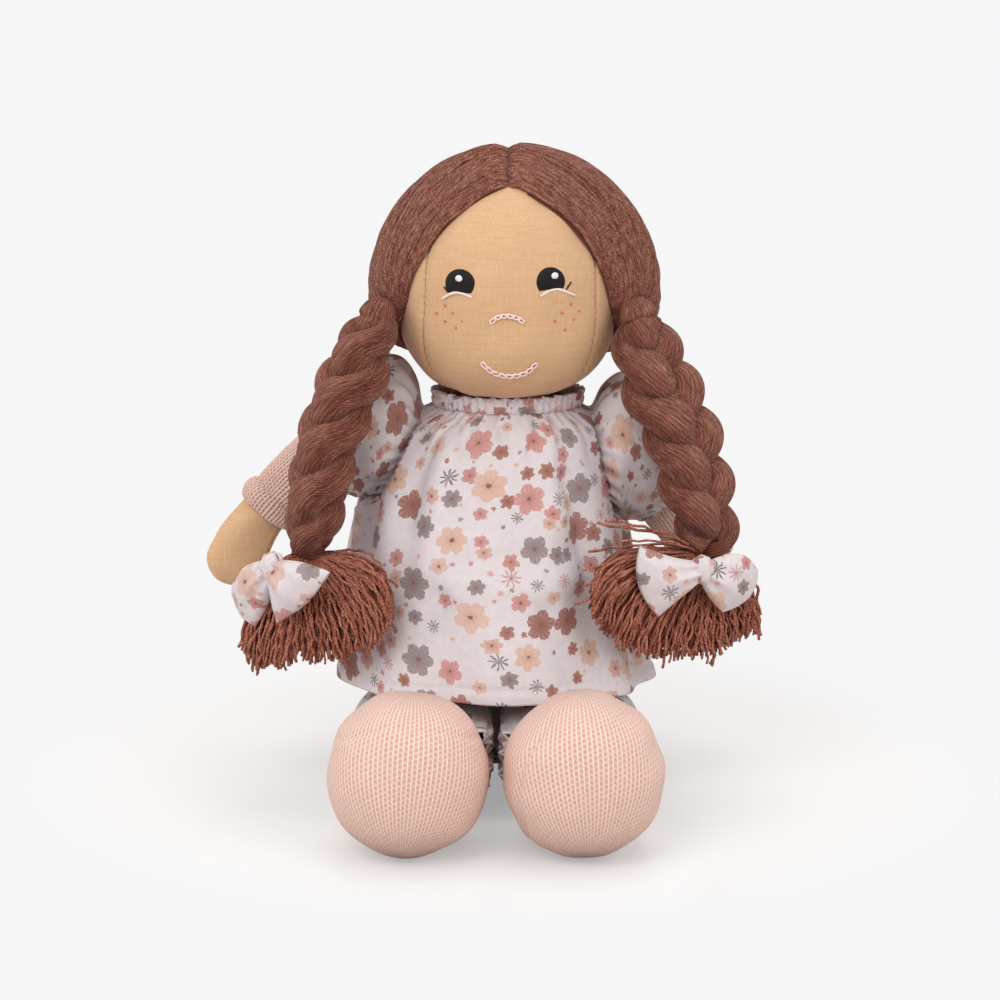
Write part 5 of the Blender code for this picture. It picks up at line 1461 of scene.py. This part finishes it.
def wale_map(side, grid):
    """UV of the sock: its wales run up the sole like meridians from a toe end turned down to the floor."""
    toe = unit(np.array([0.06 * SIDES[side], -0.38, -0.92]))
    out = grid - np.array([hip_x(side), -118.0, FOOT_MIDDLE])
    ahead = unit(np.array([0, -1.0, 0]) + toe[1] * toe)
    angle = np.arctan2(out @ np.cross(toe, ahead), out @ ahead)
    down = np.arccos(np.clip(unit(out) @ toe, -1, 1))
    return stack(angle / (2 * math.pi) * SOCK_WALES * SOCK_WALE, down * FOOT_MIDDLE)


def make_sock(side, seed):
    """The sock: a knitted cup over the foot, its top edge turned in, with the sewn line over the toes."""
    turn = turns(248)
    ahead = np.sin(np.linspace(0, 0.994, 124) * math.pi / 2)
    share = np.concatenate([np.linspace(0, WIDEST - 0.01, 64), WIDEST + (1 - WIDEST) * ahead])
    grid = foot_grid(side, 0.0, share, turn)
    centre = grid.mean(axis=1, keepdims=True)
    reach = np.linalg.norm(grid - centre, axis=-1)
    lumps = 0.4 * wave_noise(grid[..., 0], grid[..., 2], seed, 26.0)
    x, z = grid[..., 0] - hip_x(side), grid[..., 2] - FOOT_MIDDLE
    line = z - 23.0 + 0.012 * x ** 2 if side == "right" else x + 24.0 - 0.014 * (z + 4) ** 2
    seam = -0.6 * bump(line, 0.8) + 0.3 * bump(np.abs(line), 1.1, 1.8)
    seam = seam * smooth(-grid[..., 1], 112, 130) * np.clip(1.5 - np.abs(z) / 30, 0, 1)
    grid = grid + unit(grid - centre) * ((lumps + seam) * np.clip(reach / 9, 0, 1))[..., None]
    grid[..., 2] = np.maximum(grid[..., 2], 0.0)
    inner = foot_grid(side, 1.5, share[:10][::-1], turn)
    whole = np.concatenate([inner, grid])
    sock = skin_grid("sock_knit_" + side, whole, wale_map(side, closed(whole)), ends=(False, True),
                     lap=SOCK_WALES * SOCK_WALE)
    place(sock, SOCK, "leg_" + side, "sock_" + side)


def make_bloomer_leg(side, seed):
    """A short gathered leg: puffed, drawn in near its end, with a frill beyond the gather."""
    turn = turns(220)
    hip = HIP_Y + (HIP_RADIUS + 1.5) * np.cos(np.linspace(0.04, math.pi / 2, 20))
    along = np.concatenate([hip, np.linspace(HIP_Y - 1, -78, 56)])
    share = np.clip((HIP_Y - along) / 50.0, 0, 1)
    widen = 2.6 * smooth(share, 0.05, 0.55) * (1 - smooth(share, 0.62, 0.84)) + 2.6 * smooth(share, 0.88, 1.0)
    grid = thigh_grid(side, 1.5, along, turn, widen)
    centre = grid.mean(axis=1, keepdims=True)
    room = np.maximum(SIDES[side] * (grid[..., 0] + 3.2) - 1.6, 0) * (SIDES[side] * np.cos(turn) < 0)
    inner = smooth(-np.abs(np.sin(turn) - 0.1), -0.88, -0.4)[None] * smooth(share, 0.0, 0.3)[:, None]
    grid[..., 0] -= SIDES[side] * room * inner * (1 - 0.12 * smooth(share, 0.8, 1.0))[:, None]
    uneven = uneven_turns(turn, 0.05, 22, seed, 18.0)
    gather = 0.9 * np.cos(34 * uneven)[None] * smooth(share, 0.5, 0.85)[:, None]
    frill = 1.3 * np.cos(17 * uneven + 0.7)[None] * smooth(share, 0.86, 1.0)[:, None]
    grid = grid + unit(grid - centre) * (gather + frill)[..., None]
    grid[..., 2] = np.maximum(grid[..., 2], 0.3)
    uv = stack(np.linspace(0, 190, len(turn) + 1), -along[:, None]) + np.array([40.0 * seed, 300])
    piece = cloth_piece("bloomer_" + side, grid, 0.9, uv)
    place(piece, PRINT, "leg_" + side, "bloomer_leg_" + side)


for side, seed in (("right", 2), ("left", 9)):
    make_leg(side)
    make_sock(side, seed)
    make_bloomer_leg(side, seed)

# %% Torso and the bloomers' seat
NECK_Z, NECK_RADIUS, SEAT_SHARE = 150.0, 11.0, 0.235
TORSO_AT = (0, 0.03, 0.09, 0.15, 0.235, 0.3, 0.4, 0.55, 0.75, 0.9, 0.965, 0.99)
TORSO_WIDE = (0.62, 0.86, 0.98, 1, 1, 1, 0.98, 0.92, 0.86, 0.83, 0.7, 0.272)
TORSO_FRONT = (0.1, 0.2, 0.26, 0.28, 0.5, 0.68, 0.83, 0.78, 0.68, 0.57, 0.37, 0.229)
TORSO_BACK = (0.74, 0.93, 0.99, 1, 1, 0.98, 0.94, 0.84, 0.7, 0.58, 0.43, 0.346)
TORSO_SQUARE = (3.2, 3.2, 3.2, 3.2, 3, 2.6, 2.3, 2.2, 2.2, 2.2, 2.2, 2)


def torso_grid(grow, share, turn):
    """Rings of the body's outline at shares of the neck's height, grown outwards."""
    height = 1.5 + share * (NECK_Z - 1.5)
    down = grow * np.clip(1 - share / SEAT_SHARE, 0, 1)
    wide = 40.0 * curve(TORSO_AT, TORSO_WIDE, share) + grow
    front = -30.0 * curve(TORSO_AT, TORSO_FRONT, share) - grow
    back = 43.0 * curve(TORSO_AT, TORSO_BACK, share) + grow
    centres = stack(-3.2 + 4.7 * height / NECK_Z, (front + back) / 2, height - down)
    return rings_round(centres, X_WAY, Y_WAY, wide, (back - front) / 2, turn,
                       curve(TORSO_AT, TORSO_SQUARE, share))


turn = turns(140)
trunk = torso_grid(0.0, np.linspace(0, 0.985, 120), turn)
rise = np.radians(np.linspace(5, 86, 24))
neck = rings_round(stack(*NECK, NECK_Z + NECK_RADIUS * np.sin(rise)), X_WAY, Y_WAY,
                   NECK_RADIUS * np.cos(rise), NECK_RADIUS * np.cos(rise), turn)
trunk = place(skin_grid("stuffed_body", np.concatenate([trunk, neck]), ends=(True, True)), SKIN, "body", "torso")

share = np.concatenate([np.linspace(0.42, SEAT_SHARE, 30), np.linspace(0.23, 0.0, 40)])
grid = torso_grid(1.5, share, turn)
lumps = 0.4 * wave_noise(turn[None] * 40, share[:, None] * 150, 17, 30.0) * smooth(share, 0.02, 0.12)[:, None]
grid = grid + unit(grid - grid.mean(axis=1, keepdims=True)) * lumps[..., None]
grid = np.concatenate([(grid - grid_normals(grid) * 0.9)[:12][::-1], grid])
uv = stack(np.linspace(0, 230, len(turn) + 1), np.linspace(0, 72, len(grid))[:, None])
seat = skin_grid("bloomers_back", grid, uv + np.array([500.0, 400.0]), ends=(False, True))
place(seat, PRINT, "body", "bloomers_seat")
print("legs, socks, bloomers and body")

# %% [markdown]
# ## Sizes
# The box round the visual model is written beside the CAD model's box, so that the two can be compared.

# %% Sizes
visual_box = [[float(x) for x in corner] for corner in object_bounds()]
for name, box in (("CAD", CAD_BOX), ("visual", visual_box)):
    print(name, "box, mm:", [[round(x * 1000, 1) for x in corner] for corner in box])
